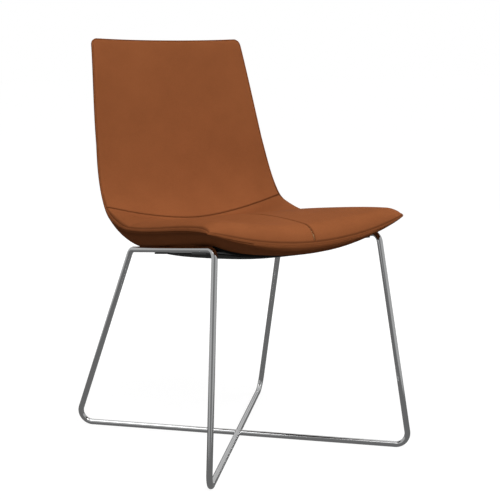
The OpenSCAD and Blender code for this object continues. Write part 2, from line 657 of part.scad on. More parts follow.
placed() long_base_rod();
placed() rear_base_rod();
placed() front_base_rod();
placed() strap_welds();
placed() front_strap();
placed() rear_strap();
placed() shell_screws();
placed() shell_washers();
placed() threaded_inserts();
placed() inner_shell();
placed() seat_foam();
placed() back_foam();
placed() outer_foam();
placed() seat_cover_left();
placed() seat_cover_right();
placed() back_cover();
placed() outer_cover();
placed() under_pan();
placed() pan_screws();
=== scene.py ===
"""Guest chair: a leather-covered seat and back shell on a crossed base of bright rod.

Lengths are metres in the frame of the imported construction: the sitter faces -Y and +Z is up.
"""
import logging
import math
from dataclasses import dataclass, field
from enum import Enum
from typing import Sequence

import bmesh
import bpy
import numpy as np
from mathutils import Matrix, Vector


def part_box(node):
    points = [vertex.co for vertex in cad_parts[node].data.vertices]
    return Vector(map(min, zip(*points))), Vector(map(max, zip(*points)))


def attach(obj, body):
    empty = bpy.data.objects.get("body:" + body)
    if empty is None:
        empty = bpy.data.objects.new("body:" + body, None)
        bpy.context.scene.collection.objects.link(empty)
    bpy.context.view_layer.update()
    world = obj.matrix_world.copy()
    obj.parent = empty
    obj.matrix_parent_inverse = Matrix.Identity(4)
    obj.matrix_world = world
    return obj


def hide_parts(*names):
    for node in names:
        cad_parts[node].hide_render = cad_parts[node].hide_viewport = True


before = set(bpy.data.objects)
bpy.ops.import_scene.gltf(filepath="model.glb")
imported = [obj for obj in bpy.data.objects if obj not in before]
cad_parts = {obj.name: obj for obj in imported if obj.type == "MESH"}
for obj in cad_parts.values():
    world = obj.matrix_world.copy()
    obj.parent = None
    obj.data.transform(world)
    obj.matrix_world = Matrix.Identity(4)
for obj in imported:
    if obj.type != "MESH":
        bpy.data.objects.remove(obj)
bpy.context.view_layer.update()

LOG = logging.getLogger("guest_chair")
BODY = "root"
# The point attribute that carries the painted seam shade.
SEAM_SHADE_MARK = "seam"
Colour = tuple[float, float, float]


class Slot(Enum):
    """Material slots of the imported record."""

    LEATHER = "leather"
    CHROME = "chrome"
    SCREW = "screw_steel"
    FOAM = "foam"
    PAN = "pan_plastic"


class Side(Enum):
    """A border of a panel of the shell."""

    TOP = "top edge of the back"
    SEAM_ABOVE = "seam between back and seat, seen from the back"
    SEAM_BELOW = "seam between back and seat, seen from the seat"
    FRONT = "front edge of the seat"
    LEFT = "left side edge"
    RIGHT = "right side edge"
    MIDDLE_LEFT = "middle seam, seen from the left half"
    MIDDLE_RIGHT = "middle seam, seen from the right half"


class Layer(Enum):
    """A face of one of the foam pads inside the covers."""

    PAD_TOP = "upper face of the seat and back pads"
    PAD_UNDER = "their underside, on the inner shell"
    OUTER_TOP = "upper face of the outer pad, under the inner shell"
    OUTER_UNDER = "its underside, on the outer cover"


# Shader building


class Graph:
    """A thin writer for one node tree, so that materials and groups read as short lists."""

    def __init__(self, tree: bpy.types.NodeTree) -> None:
        """Keeps the tree and empties it.

        Args:
            tree: The tree to write.
        """
        self.tree = tree
        tree.nodes.clear()

    def add(self, kind: str, inputs: dict | None = None, **settings: object) -> bpy.types.Node:
        """Adds a node, sets its properties and fills or links its inputs.

        Args:
            kind: The node's type name.
            inputs: Input name or number to a value or to another node's output.
            settings: Properties of the node itself.

        Returns:
            The new node.
        """
        node = self.tree.nodes.new(kind)
        for name, value in settings.items():
            setattr(node, name, value)
        for key, value in (inputs or {}).items():
            socket = node.inputs[key]
            if isinstance(value, bpy.types.NodeSocket):
                self.tree.links.new(value, socket)
            else:
                socket.default_value = value
        return node

    def math(self, operation: str, *values: object) -> bpy.types.NodeSocket:
        """Adds a Math node.

        Args:
            operation: Name of the operation.
            values: Its inputs, in order.

        Returns:
            The result's socket.
        """
        return self.add("ShaderNodeMath", dict(enumerate(values)), operation=operation).outputs[0]

    def mix_colour(self, share: object, low: object, high: object) -> bpy.types.NodeSocket:
        """Mixes two colours.

        Args:
            share: Share of the second colour.
            low: First colour.
            high: Second colour.

        Returns:
            The mixed colour's socket.
        """
        node = self.add("ShaderNodeMix", {0: share, 6: low, 7: high}, data_type="RGBA")
        return node.outputs[2]

    def range(self, value: object, low: float, high: float) -> bpy.types.NodeSocket:
        """Maps a mask from 0 to 1 onto a range.

        Args:
            value: The mask.
            low: Result at 0.
            high: Result at 1.

        Returns:
            The mapped value's socket.
        """
        return self.add("ShaderNodeMapRange", {0: value, 3: low, 4: high}).outputs[0]


def new_group(name: str, inputs: Sequence[tuple[str, float]], outputs: Sequence[str]) -> bpy.types.NodeTree:
    """Makes an empty shader node group with float sockets.

    Args:
        name: The group's name.
        inputs: Names and default values of its inputs.
        outputs: Names of its outputs.

    Returns:
        The new group.
    """
    group = bpy.data.node_groups.new(name, "ShaderNodeTree")
    for label, value in inputs:
        socket = group.interface.new_socket(label, in_out="INPUT", socket_type="NodeSocketFloat")
        socket.default_value = value
    for label in outputs:
        group.interface.new_socket(label, in_out="OUTPUT", socket_type="NodeSocketFloat")
    return group


def grain_group() -> bpy.types.NodeTree:
    """Builds the fine pebbled grain that the leather, the mouldings and the foam share.

    Returns:
        A group with Height, Cells and Mottle outputs.
    """
    warp_scale, pore_scale, fold_scale, mottle_scale = 260.0, 2600.0, 120.0, 9.0
    warp_reach, dome_slope = 0.004, 3.2
    dome_share, pore_share = 0.6, 0.25
    group = new_group("fine_grain", [("Cells per metre", 900.0), ("Warp", 0.3), ("Crease", 0.5)],
                      ["Height", "Cells", "Mottle"])
    g = Graph(group)
    inlet = g.add("NodeGroupInput").outputs
    place = g.add("ShaderNodeTexCoord").outputs["Object"]
    warp = g.add("ShaderNodeTexNoise", {"Vector": place, "Scale": warp_scale, "Detail": 2.0})
    push = g.add("ShaderNodeVectorMath", {0: warp.outputs["Color"], 1: (0.5, 0.5, 0.5)}, operation="SUBTRACT")
    reach = g.math("MULTIPLY", inlet["Warp"], warp_reach)
    pushed = g.add("ShaderNodeVectorMath", {0: push.outputs[0], "Scale": reach}, operation="SCALE")
    spot = g.add("ShaderNodeVectorMath", {0: place, 1: pushed.outputs[0]}, operation="ADD").outputs[0]
    cells = g.add("ShaderNodeTexVoronoi", {"Vector": spot, "Scale": inlet["Cells per metre"]},
                  feature="DISTANCE_TO_EDGE")
    dome = g.math("MINIMUM", g.math("MULTIPLY", cells.outputs["Distance"], dome_slope), 1.0)
    pore = g.add("ShaderNodeTexNoise", {"Vector": place, "Scale": pore_scale, "Detail": 3.0})
    fold = g.add("ShaderNodeTexNoise", {"Vector": place, "Scale": fold_scale, "Detail": 4.0,
                                        "Roughness": 0.6})
    creased = g.math("MULTIPLY", fold.outputs["Fac"], inlet["Crease"])
    height = g.math("ADD", g.math("MULTIPLY", dome, dome_share),
                    g.math("ADD", g.math("MULTIPLY", pore.outputs["Fac"], pore_share), creased))
    mottle = g.add("ShaderNodeTexNoise", {"Vector": place, "Scale": mottle_scale, "Detail": 5.0,
                                          "Roughness": 0.62})
    g.add("NodeGroupOutput", {"Height": height, "Cells": dome, "Mottle": mottle.outputs["Fac"]})
    return group


def handling_group() -> bpy.types.NodeTree:
    """Builds the faint smears and hairlines that handling leaves on the metal pieces.

    Returns:
        A group with Smear and Hairline outputs.
    """
    drawn_out = (1.0, 1.0, 0.05)
    group = new_group("handling_marks", [("Smear size", 30.0), ("Hairlines per metre", 700.0)],
                      ["Smear", "Hairline"])
    g = Graph(group)
    inlet = g.add("NodeGroupInput").outputs
    place = g.add("ShaderNodeTexCoord").outputs["Object"]
    smear = g.add("ShaderNodeTexNoise", {"Vector": place, "Scale": inlet["Smear size"], "Detail": 6.0,
                                         "Roughness": 0.65})
    drawn = g.add("ShaderNodeMapping", {"Vector": place, "Scale": drawn_out}).outputs[0]
    line = g.add("ShaderNodeTexNoise", {"Vector": drawn, "Scale": inlet["Hairlines per metre"],
                                        "Detail": 2.0})
    g.add("NodeGroupOutput", {"Smear": smear.outputs["Fac"], "Hairline": line.outputs["Fac"]})
    return group


def new_material(name: str) -> tuple[bpy.types.Material, Graph]:
    """Makes an empty material.

    Args:
        name: Its name.

    Returns:
        The material and the writer of its tree.
    """
    mat = bpy.data.materials.new(name)
    mat.use_nodes = True
    return mat, Graph(mat.node_tree)


def seen_directly(g: Graph) -> bpy.types.NodeSocket:
    """Adds a test of the ray's kind.

    Args:
        g: The writer of the tree.

    Returns:
        A socket of 1 for rays from the camera, from reflections and through glass, else 0.
    """
    path = g.add("ShaderNodeLightPath").outputs
    bent = g.math("MAXIMUM", path["Is Glossy Ray"], path["Is Transmission Ray"])
    return g.math("MAXIMUM", path["Is Camera Ray"], bent)


def rgba(colour: Colour, level: float = 1.0) -> tuple[float, ...]:
    """Returns a colour at a level of brightness, opaque."""
    return (*(level * c for c in colour), 1.0)


@dataclass(frozen=True)
class LeatherFinish:
    """Aniline leather with a fine grain, a little darker in its mottle, and with painted shade down in its
    seams.
    """

    name: str
    light: Colour
    dark: Colour
    cells: float = 950.0
    crease: float = 0.4
    mottle_span: tuple[float, float] = (-0.35, 1.15)
    gloss: tuple[float, float] = (0.46, 0.58)
    grain_height: float = 0.00022
    grain_strength: float = 0.55
    pore_depth: float = 0.30
    pore_level: float = 0.55
    # Painted shade in the seams: how much of the seam mark darkens the colour, and to what level of the dark
    # tone.
    seam_depth: float = 0.85
    seam_level: float = 0.3
    specular: float = 0.001

    def build(self, grain: bpy.types.NodeTree) -> bpy.types.Material:
        """Builds the material.

        Args:
            grain: The shared grain group.

        Returns:
            The finished material.
        """
        mat, g = new_material(self.name)
        fine = g.add("ShaderNodeGroup", node_tree=grain)
        fine.inputs["Cells per metre"].default_value = self.cells
        fine.inputs["Crease"].default_value = self.crease
        base = g.mix_colour(g.range(fine.outputs["Mottle"], *self.mottle_span), rgba(self.dark),
                            rgba(self.light))
        groove = g.range(fine.outputs["Cells"], self.pore_depth, 0.0)
        pored = g.mix_colour(groove, base, rgba(self.dark, self.pore_level))
        # Painted shade: the seam mark darkens the colour down in the seams and along the rim's lip, where
        # they lie in shade.
        seam = g.add("ShaderNodeAttribute", attribute_name=SEAM_SHADE_MARK).outputs["Fac"]
        colour = g.mix_colour(g.math("MULTIPLY", seam, self.seam_depth), pored,
                              rgba(self.dark, self.seam_level))
        bump = g.add("ShaderNodeBump", {"Strength": self.grain_strength, "Distance": self.grain_height,
                                        "Height": fine.outputs["Height"]})
        shader = g.add("ShaderNodeBsdfPrincipled", {
            "Base Color": colour, "Roughness": g.range(fine.outputs["Mottle"], *self.gloss),
            "Specular IOR Level": self.specular, "Normal": bump.outputs[0]})
        g.add("ShaderNodeOutputMaterial", {0: shader.outputs[0]})
        return mat


@dataclass(frozen=True)
class MetalFinish:
    """A plated or bare metal with faint handling marks."""

    name: str
    colour: Colour
    gloss: tuple[float, float]
    hairline: float = 0.0
    dull_level: float = 0.93
    scratch_strength: float = 0.02
    scratch_depth: float = 0.00004

    def build(self, marks: bpy.types.NodeTree) -> bpy.types.Material:
        """Builds the material.

        Args:
            marks: The shared group of handling marks.

        Returns:
            The finished material.
        """
        mat, g = new_material(self.name)
        wear = g.add("ShaderNodeGroup", node_tree=marks)
        smear, hairline = wear.outputs["Smear"], wear.outputs["Hairline"]
        colour = g.mix_colour(g.range(smear, 0.0, 1.0), rgba(self.colour, self.dull_level), rgba(self.colour))
        rough = g.math("ADD", g.range(smear, *self.gloss), g.range(hairline, -self.hairline, self.hairline))
        bump = g.add("ShaderNodeBump", {"Strength": self.scratch_strength, "Distance": self.scratch_depth,
                                        "Height": hairline})
        shader = g.add("ShaderNodeBsdfPrincipled", {"Base Color": colour, "Metallic": 1.0, "Roughness": rough,
                                                    "Normal": bump.outputs[0]})
        g.add("ShaderNodeOutputMaterial", {0: shader.outputs[0]})
        return mat


@dataclass(frozen=True)
class MouldedFinish:
    """A moulded plastic or foam with a fine surface texture."""

    name: str
    colour: Colour
    gloss: tuple[float, float]
    cells: float
    texture_height: float
    contrast: float = 0.2
    specular: float = 0.5
    texture_strength: float = 0.5

    def build(self, grain: bpy.types.NodeTree) -> bpy.types.Material:
        """Builds the material.

        Args:
            grain: The shared grain group.

        Returns:
            The finished material.
        """
        mat, g = new_material(self.name)
        fine = g.add("ShaderNodeGroup", node_tree=grain)
        fine.inputs["Cells per metre"].default_value = self.cells
        fine.inputs["Crease"].default_value = 0.0
        colour = g.mix_colour(fine.outputs["Cells"], rgba(self.colour, 1 - self.contrast), rgba(self.colour))
        bump = g.add("ShaderNodeBump", {"Strength": self.texture_strength, "Distance": self.texture_height,
                                        "Height": fine.outputs["Height"]})
        shader = g.add("ShaderNodeBsdfPrincipled", {
            "Base Color": colour, "Roughness": g.range(fine.outputs["Mottle"], *self.gloss),
            "Specular IOR Level": self.specular, "Normal": bump.outputs[0]})
        g.add("ShaderNodeOutputMaterial", {0: shader.outputs[0]})
        return mat


class Finishes:
    """Every material of the chair, built once."""

    def __init__(self) -> None:
        """Builds the shared groups and then each finish."""
        grain, marks = grain_group(), handling_group()
        self.leather = LeatherFinish("tan_leather", light=(0.330, 0.1090, 0.0390),
                                     dark=(0.254, 0.0810, 0.0290)).build(grain)
        self.chrome = MetalFinish("bright_chrome", (0.68, 0.685, 0.69), gloss=(0.05, 0.11)).build(marks)
        # The strap's colour is far darker than the chrome's: partly its satin plating, partly painted shade
        # for its place under the seat.
        self.strap = MetalFinish("satin_strap_painted_shade", (0.075, 0.076, 0.078), gloss=(0.30, 0.38)).build(marks)
        self.screw = MetalFinish("zinc_plate", (0.52, 0.53, 0.54), gloss=(0.28, 0.42),
                                 hairline=0.05).build(marks)
        self.brass = MetalFinish("machined_brass", (0.62, 0.44, 0.18), gloss=(0.25, 0.4),
                                 hairline=0.06).build(marks)
        self.pan = MouldedFinish("black_pan", (0.004, 0.004, 0.0045), gloss=(0.42, 0.55), cells=1400.0,
                                 texture_height=0.00012, specular=0.08).build(grain)
        self.moulding = MouldedFinish("grey_shell_moulding", (0.06, 0.063, 0.07), gloss=(0.5, 0.62),
                                      cells=900.0, texture_height=0.0001).build(grain)
        self.foam = MouldedFinish("open_cell_foam", (0.80, 0.66, 0.34), gloss=(0.9, 0.96), cells=700.0,
                                  texture_height=0.0009, contrast=0.45).build(grain)


# Mesh building


def new_piece(name: str, points: np.ndarray, faces: Sequence[Sequence[int]], material: bpy.types.Material,
              seam: np.ndarray | None = None, merge: float = 0.00002) -> bpy.types.Object:
    """Makes a smooth closed piece from points and faces, merging doubled points and turning faces outward.

    Args:
        name: The piece's name.
        points: One row of x, y, z for each point.
        faces: Point numbers of each face.
        material: Its finish.
        seam: How much painted seam shade each point takes, from 0 to 1.
        merge: Points nearer than this become one.

    Returns:
        The new object, at the origin.
    """
    mesh = bpy.data.meshes.new(name)
    mesh.from_pydata([tuple(p) for p in np.asarray(points, float)], [], [tuple(f) for f in faces])
    # Keeps the painted seam shade as a point attribute for the leather.
    if seam is not None:
        mesh.attributes.new(SEAM_SHADE_MARK, "FLOAT", "POINT").data.foreach_set("value", seam.ravel())
    bm = bmesh.new()
    bm.from_mesh(mesh)
    bmesh.ops.remove_doubles(bm, verts=bm.verts, dist=merge)
    bmesh.ops.dissolve_degenerate(bm, edges=bm.edges, dist=merge * 0.5)
    bmesh.ops.recalc_face_normals(bm, faces=bm.faces)
    bm.to_mesh(mesh)
    bm.free()
    mesh.shade_smooth()
    mesh.materials.append(material)
    piece = bpy.data.objects.new(name, mesh)
    bpy.context.scene.collection.objects.link(piece)
    return piece


def grid_faces(rows: int, columns: int, first: int = 0) -> list[tuple[int, int, int, int]]:
    """Lists the quads of a grid of points.

    Args:
        rows: Points along the first direction.
        columns: Points along the second direction.
        first: Number of the grid's first point.

    Returns:
        The quads.
    """
    return [(first + i * columns + j, first + i * columns + j + 1,
             first + (i + 1) * columns + j + 1, first + (i + 1) * columns + j)
            for i in range(rows - 1) for j in range(columns - 1)]


def rim_loop(rows: int, columns: int) -> list[int]:
    """Lists the border points of a grid in order.

    Args:
        rows: Points along the first direction.
        columns: Points along the second direction.

    Returns:
        Point numbers round the border.
    """
    top = list(range(columns))
    right = [i * columns + columns - 1 for i in range(1, rows)]
    bottom = [(rows - 1) * columns + j for j in range(columns - 2, -1, -1)]
    left = [i * columns for i in range(rows - 2, 0, -1)]
    return top + right + bottom + left


def solid_between(name: str, upper: np.ndarray, lower: np.ndarray, material: bpy.types.Material,
                  seam: np.ndarray | None = None) -> bpy.types.Object:
    """Makes a closed solid between two grids of points of the same size.

    Args:
        name: The piece's name.
        upper: Grid of points of one skin.
        lower: Grid of points of the other skin.
        material: Its finish.
        seam: How much painted seam shade each point of a skin takes, from 0 to 1.

    Returns:
        The new object.
    """
    rows, columns = upper.shape[:2]
    count = rows * columns
    points = np.concatenate([upper.reshape(-1, 3), lower.reshape(-1, 3)])
    faces = grid_faces(rows, columns)
    faces += [tuple(reversed(f)) for f in grid_faces(rows, columns, count)]
    loop = rim_loop(rows, columns)
    faces += [(a, b, b + count, a + count) for a, b in zip(loop, loop[1:] + loop[:1])]
    marks = None if seam is None else np.concatenate([seam.ravel(), seam.ravel()])
    return new_piece(name, points, faces, material, marks)


def add_to_chair(piece: bpy.types.Object, slot: Slot, *nodes: str) -> bpy.types.Object:
    """Hangs a piece on the body that it rides on and hides the nodes that it stands for.

    Args:
        piece: The finished piece.
        slot: Its material slot; not used.
        nodes: Names of the nodes that it replaces.

    Returns:
        The same piece.
    """
    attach(piece, BODY)
    if nodes:
        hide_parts(*nodes)
    LOG.info("%s: %d faces, stands for %s", piece.name, len(piece.data.polygons),
             ", ".join(nodes) or "nothing")
    return piece


# The shell's surface


@dataclass(frozen=True)
class ShellForm:
    """The padded shell as a surface over s, the place along it, and x, the distance from its middle.

    s is 0 at the top edge, 1 at the waist, 2 at the seam, 3 at the lowest point of the seat's edge
    and 4 at the front edge. Lists hold one value for each of these places.
    """

    shift: float
    # The side edge: its line seen from the side, and how far it stands from the middle.
    edge_y: tuple[float, ...] = (0.2755, 0.2155, 0.1605, 0.059, -0.251)
    edge_z: tuple[float, ...] = (0.8325, 0.6105, 0.4855, 0.4515, 0.481)
    edge_heading: tuple[float, ...] = (17, 16.5, 40, 91.5, 90.5)
    half_width: tuple[float, ...] = (0.187, 0.2095, 0.222, 0.2275, 0.2315)
    # The middle line: how far it is hollowed behind the edges and below them.
    middle_heading: tuple[float, ...] = (14.5, 18, 57.5, 105, 85)
    top_hollow: float = 0.012
    waist_hollow: float = 0.0215
    hollow_lean: float = 16.0
    seam_sag: float = 0.035
    seam_set_back: float = -0.004
    seat_z: float = 0.459
    seat_front_z: float = 0.4755
    front_y: float = 0.2665
    front_edge_z: float = 0.4425
    # How deep the padding rolls down at the edge and over how wide a strip, with a swell at the hips.
    roll: tuple[float, ...] = (0.0025, 0.0025, 0.0025, 0.0165, 0.025)
    hip_swell: float = 0.012
    hip_narrow: float = 0.024
    strip: tuple[float, ...] = (0.02, 0.02, 0.03, 0.088, 0.057)
    # The shell's thickness in the middle and at its edge wall.
    thickness: tuple[float, ...] = (0.02, 0.0275, 0.059, 0.0565, 0.0645)
    wall: tuple[float, ...] = (0.006, 0.006, 0.0045, 0.003, 0.003)
    # How full the curves are from side to side: higher is flatter in the middle.
    hollow_power: tuple[float, ...] = (2.2, 2.2, 1.7, 1.6, 1.85)
    belly_power: tuple[float, ...] = (3, 2.8, 4.6, 5.7, 2)
    front_power: float = 6.6
    # Strips over which the front and the top are rounded, and the top corners.
    front_strip: float = 0.034
    front_belly_strip: float = 0.082
    top_strip: float = 0.020
    top_belly_strip: float = 0.060
    corner_r: float = 0.013
    # Places along the shell, and the steps in which it is measured.
    seam: float = 2.0
    last: float = 4.0
    front_from: float = 2.5
    least_step: float = 0.001
    length_steps: int = 801

    def middle_nodes(self) -> tuple[np.ndarray, np.ndarray]:
        """Gives the middle line at the five places.

        Returns:
            Its y and its z.
        """
        lean = math.radians(self.hollow_lean)
        back, down = math.cos(lean), math.sin(lean)
        y = [self.edge_y[0] + self.top_hollow * back, self.edge_y[1] + self.waist_hollow * back,
             self.edge_y[2] + self.seam_set_back, self.edge_y[3], -self.front_y]
        z = [self.edge_z[0] - self.top_hollow * down, self.edge_z[1] - self.waist_hollow * down,
             self.edge_z[2] - self.seam_sag, self.seat_z, self.seat_front_z]
        return np.array(y), np.array(z)

    @staticmethod
    def curve(y: Sequence[float], z: Sequence[float], heading: Sequence[float], s: np.ndarray) -> np.ndarray:
        """Follows a chain of cubics through nodes with given headings.

        Args:
            y: The nodes' y.
            z: The nodes' z.
            heading: Degrees from straight down, forward positive.
            s: Places along the chain.

        Returns:
            Two arrays stacked last: y and z.
        """
        y, z, turn = np.asarray(y), np.asarray(z), np.radians(heading)
        i = np.clip(np.floor(s).astype(int), 0, len(y) - 2)
        u = s - i
        chord = np.hypot(y[i + 1] - y[i], z[i + 1] - z[i])
        a, b = 2 * u**3 - 3 * u**2 + 1, u**3 - 2 * u**2 + u
        c, d = 3 * u**2 - 2 * u**3, u**3 - u**2
        out_y = a * y[i] - b * chord * np.sin(turn[i]) + c * y[i + 1] - d * chord * np.sin(turn[i + 1])
        out_z = a * z[i] - b * chord * np.cos(turn[i]) + c * z[i + 1] - d * chord * np.cos(turn[i + 1])
        return np.stack([out_y, out_z], -1)

    def at(self, values: Sequence[float], s: np.ndarray) -> np.ndarray:
        """Gives a smooth value between the five places.

        Args:
            values: One value for each place.
            s: Places along the shell.

        Returns:
            The value at each place.
        """
        v = np.asarray(values, float)
        v = np.concatenate([[2 * v[0] - v[1]], v, [2 * v[-1] - v[-2]]])
        i = np.clip(np.floor(s).astype(int), 0, len(values) - 2)
        u = s - i
        a, b, c, d = v[i], v[i + 1], v[i + 2], v[i + 3]
        square, cube = 2 * a - 5 * b + 4 * c - d, 3 * b - a - 3 * c + d
        return 0.5 * (2 * b + (c - a) * u + square * u**2 + cube * u**3)

    def edge(self, s: np.ndarray) -> np.ndarray:
        """Returns the side edge's y and z at s."""
        return self.curve(self.edge_y, self.edge_z, self.edge_heading, s)

    def middle(self, s: np.ndarray) -> np.ndarray:
        """Returns the middle line's y and z at s."""
        return self.curve(*self.middle_nodes(), self.middle_heading, s)

    def normal(self, s: np.ndarray) -> np.ndarray:
        """Gives the direction towards the sitter.

        Args:
            s: Places along the shell.

        Returns:
            y and z, stacked last.
        """
        a, b = np.clip(s - self.least_step, 0, self.last), np.clip(s + self.least_step, 0, self.last)
        t = self.edge(b) - self.edge(a) + self.middle(b) - self.middle(a)
        t /= np.linalg.norm(t, axis=-1, keepdims=True)
        return np.stack([t[..., 1], -t[..., 0]], -1)

    def from_top(self, s: np.ndarray) -> np.ndarray:
        """Returns the distance of s from the top edge, along the middle line."""
        return np.linalg.norm(self.middle(s) - self.middle(np.zeros_like(s)), axis=-1)

    def half_at(self, s: np.ndarray, inset: np.ndarray | float) -> np.ndarray:
        """Gives the half width at a distance in from the edge, with the round top corners.

        Args:
            s: Places along the shell.
            inset: Distance in from the edge.

        Returns:
            The half width at each place.
        """
        r = self.corner_r - inset
        d = np.maximum(self.from_top(s) - inset, 0)
        cut = np.where(d < r, r - np.sqrt(np.maximum(r**2 - (r - d) ** 2, 0)), 0)
        return self.at(self.half_width, s) - inset - cut

    def sheet(self, s: np.ndarray, v: np.ndarray) -> np.ndarray:
        """Gives the sheet through the edges and the middle line.

        Args:
            s: Places along the shell.
            v: Shares of the half width.

        Returns:
            y and z, stacked last.
        """
        rise, reach = self.rise(s, v), self.reach(s, v)
        edge, middle = self.edge(s), self.middle(s)
        y = middle[..., 0] * (1 - reach) + edge[..., 0] * reach
        z = middle[..., 1] * (1 - rise) + edge[..., 1] * rise
        return np.stack([y, z], -1)

    def rise(self, s: np.ndarray, v: np.ndarray) -> np.ndarray:
        """Returns the share of the way from the middle's height to the edge's."""
        return np.abs(v) ** self.at(self.hollow_power, s)

    def reach(self, s: np.ndarray, v: np.ndarray) -> np.ndarray:
        """Returns the share of the way from the middle's length to the edge's."""
        f = np.maximum(s - self.last + 1, 0)
        return self.rise(s, v) * (1 - f) + np.abs(v) ** self.front_power * f

    @staticmethod
    def fall(k: np.ndarray) -> np.ndarray:
        """Returns how far a quarter circle has fallen at share k of its width."""
        return 1 - np.sqrt(np.maximum(0, 1 - k**2))

    def padded(self, s: np.ndarray, v: np.ndarray) -> np.ndarray:
        """Gives the padded face before the front edge rolls over.

        Args:
            s: Places along the shell.
            v: Shares of the half width.

        Returns:
            y and z, stacked last.
        """
        hump, n = self.hump(s), self.normal(s)
        drop = self.at(self.roll, s) + self.hip_swell * hump
        strip = self.at(self.strip, s) - self.hip_narrow * hump
        side = np.maximum(1 - (1 - np.abs(v)) * self.at(self.half_width, s) / strip, 0)
        top = np.maximum(1 - self.from_top(s) / self.top_strip, 0)
        k = np.minimum(np.hypot(side, top), 1)
        rise, reach = self.rise(s, v), self.reach(s, v)
        out = self.sheet(s, v) + n * (drop * (rise - self.fall(k)))[..., None]
        out[..., 0] += n[..., 0] * drop * (reach - rise)
        return out

    def hump(self, s: np.ndarray) -> np.ndarray:
        """Returns a rise from 0 to 1 and back between the seam and the lowest point of the seat's edge."""
        u = np.clip(s - self.seam, 0, 1)
        return 4 * u * (1 - u)

    def near_front(self, s: np.ndarray, v: np.ndarray, strip: float) -> np.ndarray:
        """Gives the share of the way to the front edge within a strip behind it.

        Args:
            s: Places along the shell.
            v: Shares of the half width.
            strip: Width of the strip.

        Returns:
            0 behind the strip, 1 at the edge.
        """
        gap = self.padded(s, v)[..., 0] - self.padded(np.full_like(s, self.last), v)[..., 0]
        return np.where(s > self.front_from, np.clip(1 - gap / strip, 0, 1), 0)

    def front_crease(self, v: np.ndarray) -> np.ndarray:
        """Returns the height of the front edge's crease at share v."""
        return self.front_edge_z + (self.edge_z[-1] - self.front_edge_z) * v**2

    def place(self, x: np.ndarray, yz: np.ndarray) -> np.ndarray:
        """Returns points in the frame from x and the chair's own y and z."""
        return np.stack([x, yz[..., 0] + self.shift, yz[..., 1]], -1)

    def face(self, s: np.ndarray, x: np.ndarray) -> np.ndarray:
        """Gives points of the padded face.

        Args:
            s: Places along the shell.
            x: Distances from the middle.

        Returns:
            Points, stacked last.
        """
        v = x / self.at(self.half_width, s)
        yz = self.padded(s, v)
        gap = self.padded(np.full_like(s, self.last), v)[..., 1] - self.front_crease(v)
        yz[..., 1] -= gap * self.fall(self.near_front(s, v, self.front_strip))
        return self.place(x, yz)

    def outer(self, s: np.ndarray, x: np.ndarray) -> np.ndarray:
        """Gives points of the outer face, at the rear and underneath.

        Args:
            s: Places along the shell.
            x: Distances from the middle.

        Returns:
            Points, stacked last.
        """
        v = x / self.at(self.half_width, s)
        q, wall = self.sheet(s, v), self.at(self.wall, s)
        swell = 1 - self.fall(np.maximum(1 - self.from_top(s) / self.top_belly_strip, 0))
        belly = 1 - np.abs(v) ** self.at(self.belly_power, s)
        full = wall + (self.at(self.thickness, s) - wall) * belly * swell
        f = self.fall(self.near_front(s, v, self.front_belly_strip))
        edge = q[..., 1] - self.front_crease(v) + wall
        t = edge * f + full * (1 - f)
        return self.place(x, q - self.normal(s) * t[..., None])

    def inward(self, s: np.ndarray, x: np.ndarray) -> tuple[np.ndarray, np.ndarray, np.ndarray]:
        """Gives the face, the direction into the shell and the shell's thickness.

        Args:
            s: Places along the shell.
            x: Distances from the middle.

        Returns:
            Face points, unit directions and thicknesses.
        """
        face = self.face(s, x)
        through = self.outer(s, x) - face
        thick = np.linalg.norm(through, axis=-1)
        return face, through / thick[..., None], thick

    def lengths(self) -> tuple[np.ndarray, np.ndarray]:
        """Measures along the middle of the face.

        Returns:
            Places along the shell and their distances from the top.
        """
        s = np.linspace(0, self.last, self.length_steps)
        p = self.face(s, np.zeros_like(s))
        return s, np.concatenate([[0], np.cumsum(np.linalg.norm(np.diff(p, axis=0), axis=1))])

    def s_from(self, side: Side, distance: float) -> float:
        """Gives the place at a distance in from a border that runs across the shell.

        Args:
            side: TOP, FRONT or one side of the seam.
            distance: Distance in from it.

        Returns:
            The place along the shell.
        """
        s, run = self.lengths()
        start, sign = {Side.TOP: (0.0, 1), Side.SEAM_ABOVE: (self.seam, -1), Side.SEAM_BELOW: (self.seam, 1),
                       Side.FRONT: (self.last, -1)}[side]
        return float(np.interp(np.interp(start, s, run) + sign * distance, run, s))

    def x_from(self, side: Side, s: np.ndarray, distance: np.ndarray) -> np.ndarray:
        """Gives x at a distance in from a border that runs along the shell.

        Args:
            side: LEFT, RIGHT or one side of the middle seam.
            s: Places along the shell.
            distance: Distance in from it.

        Returns:
            x at each place.
        """
        if side in (Side.MIDDLE_LEFT, Side.MIDDLE_RIGHT):
            return distance * (1 if side is Side.MIDDLE_RIGHT else -1) + 0 * s
        return self.half_at(s, distance) * (1 if side is Side.RIGHT else -1)


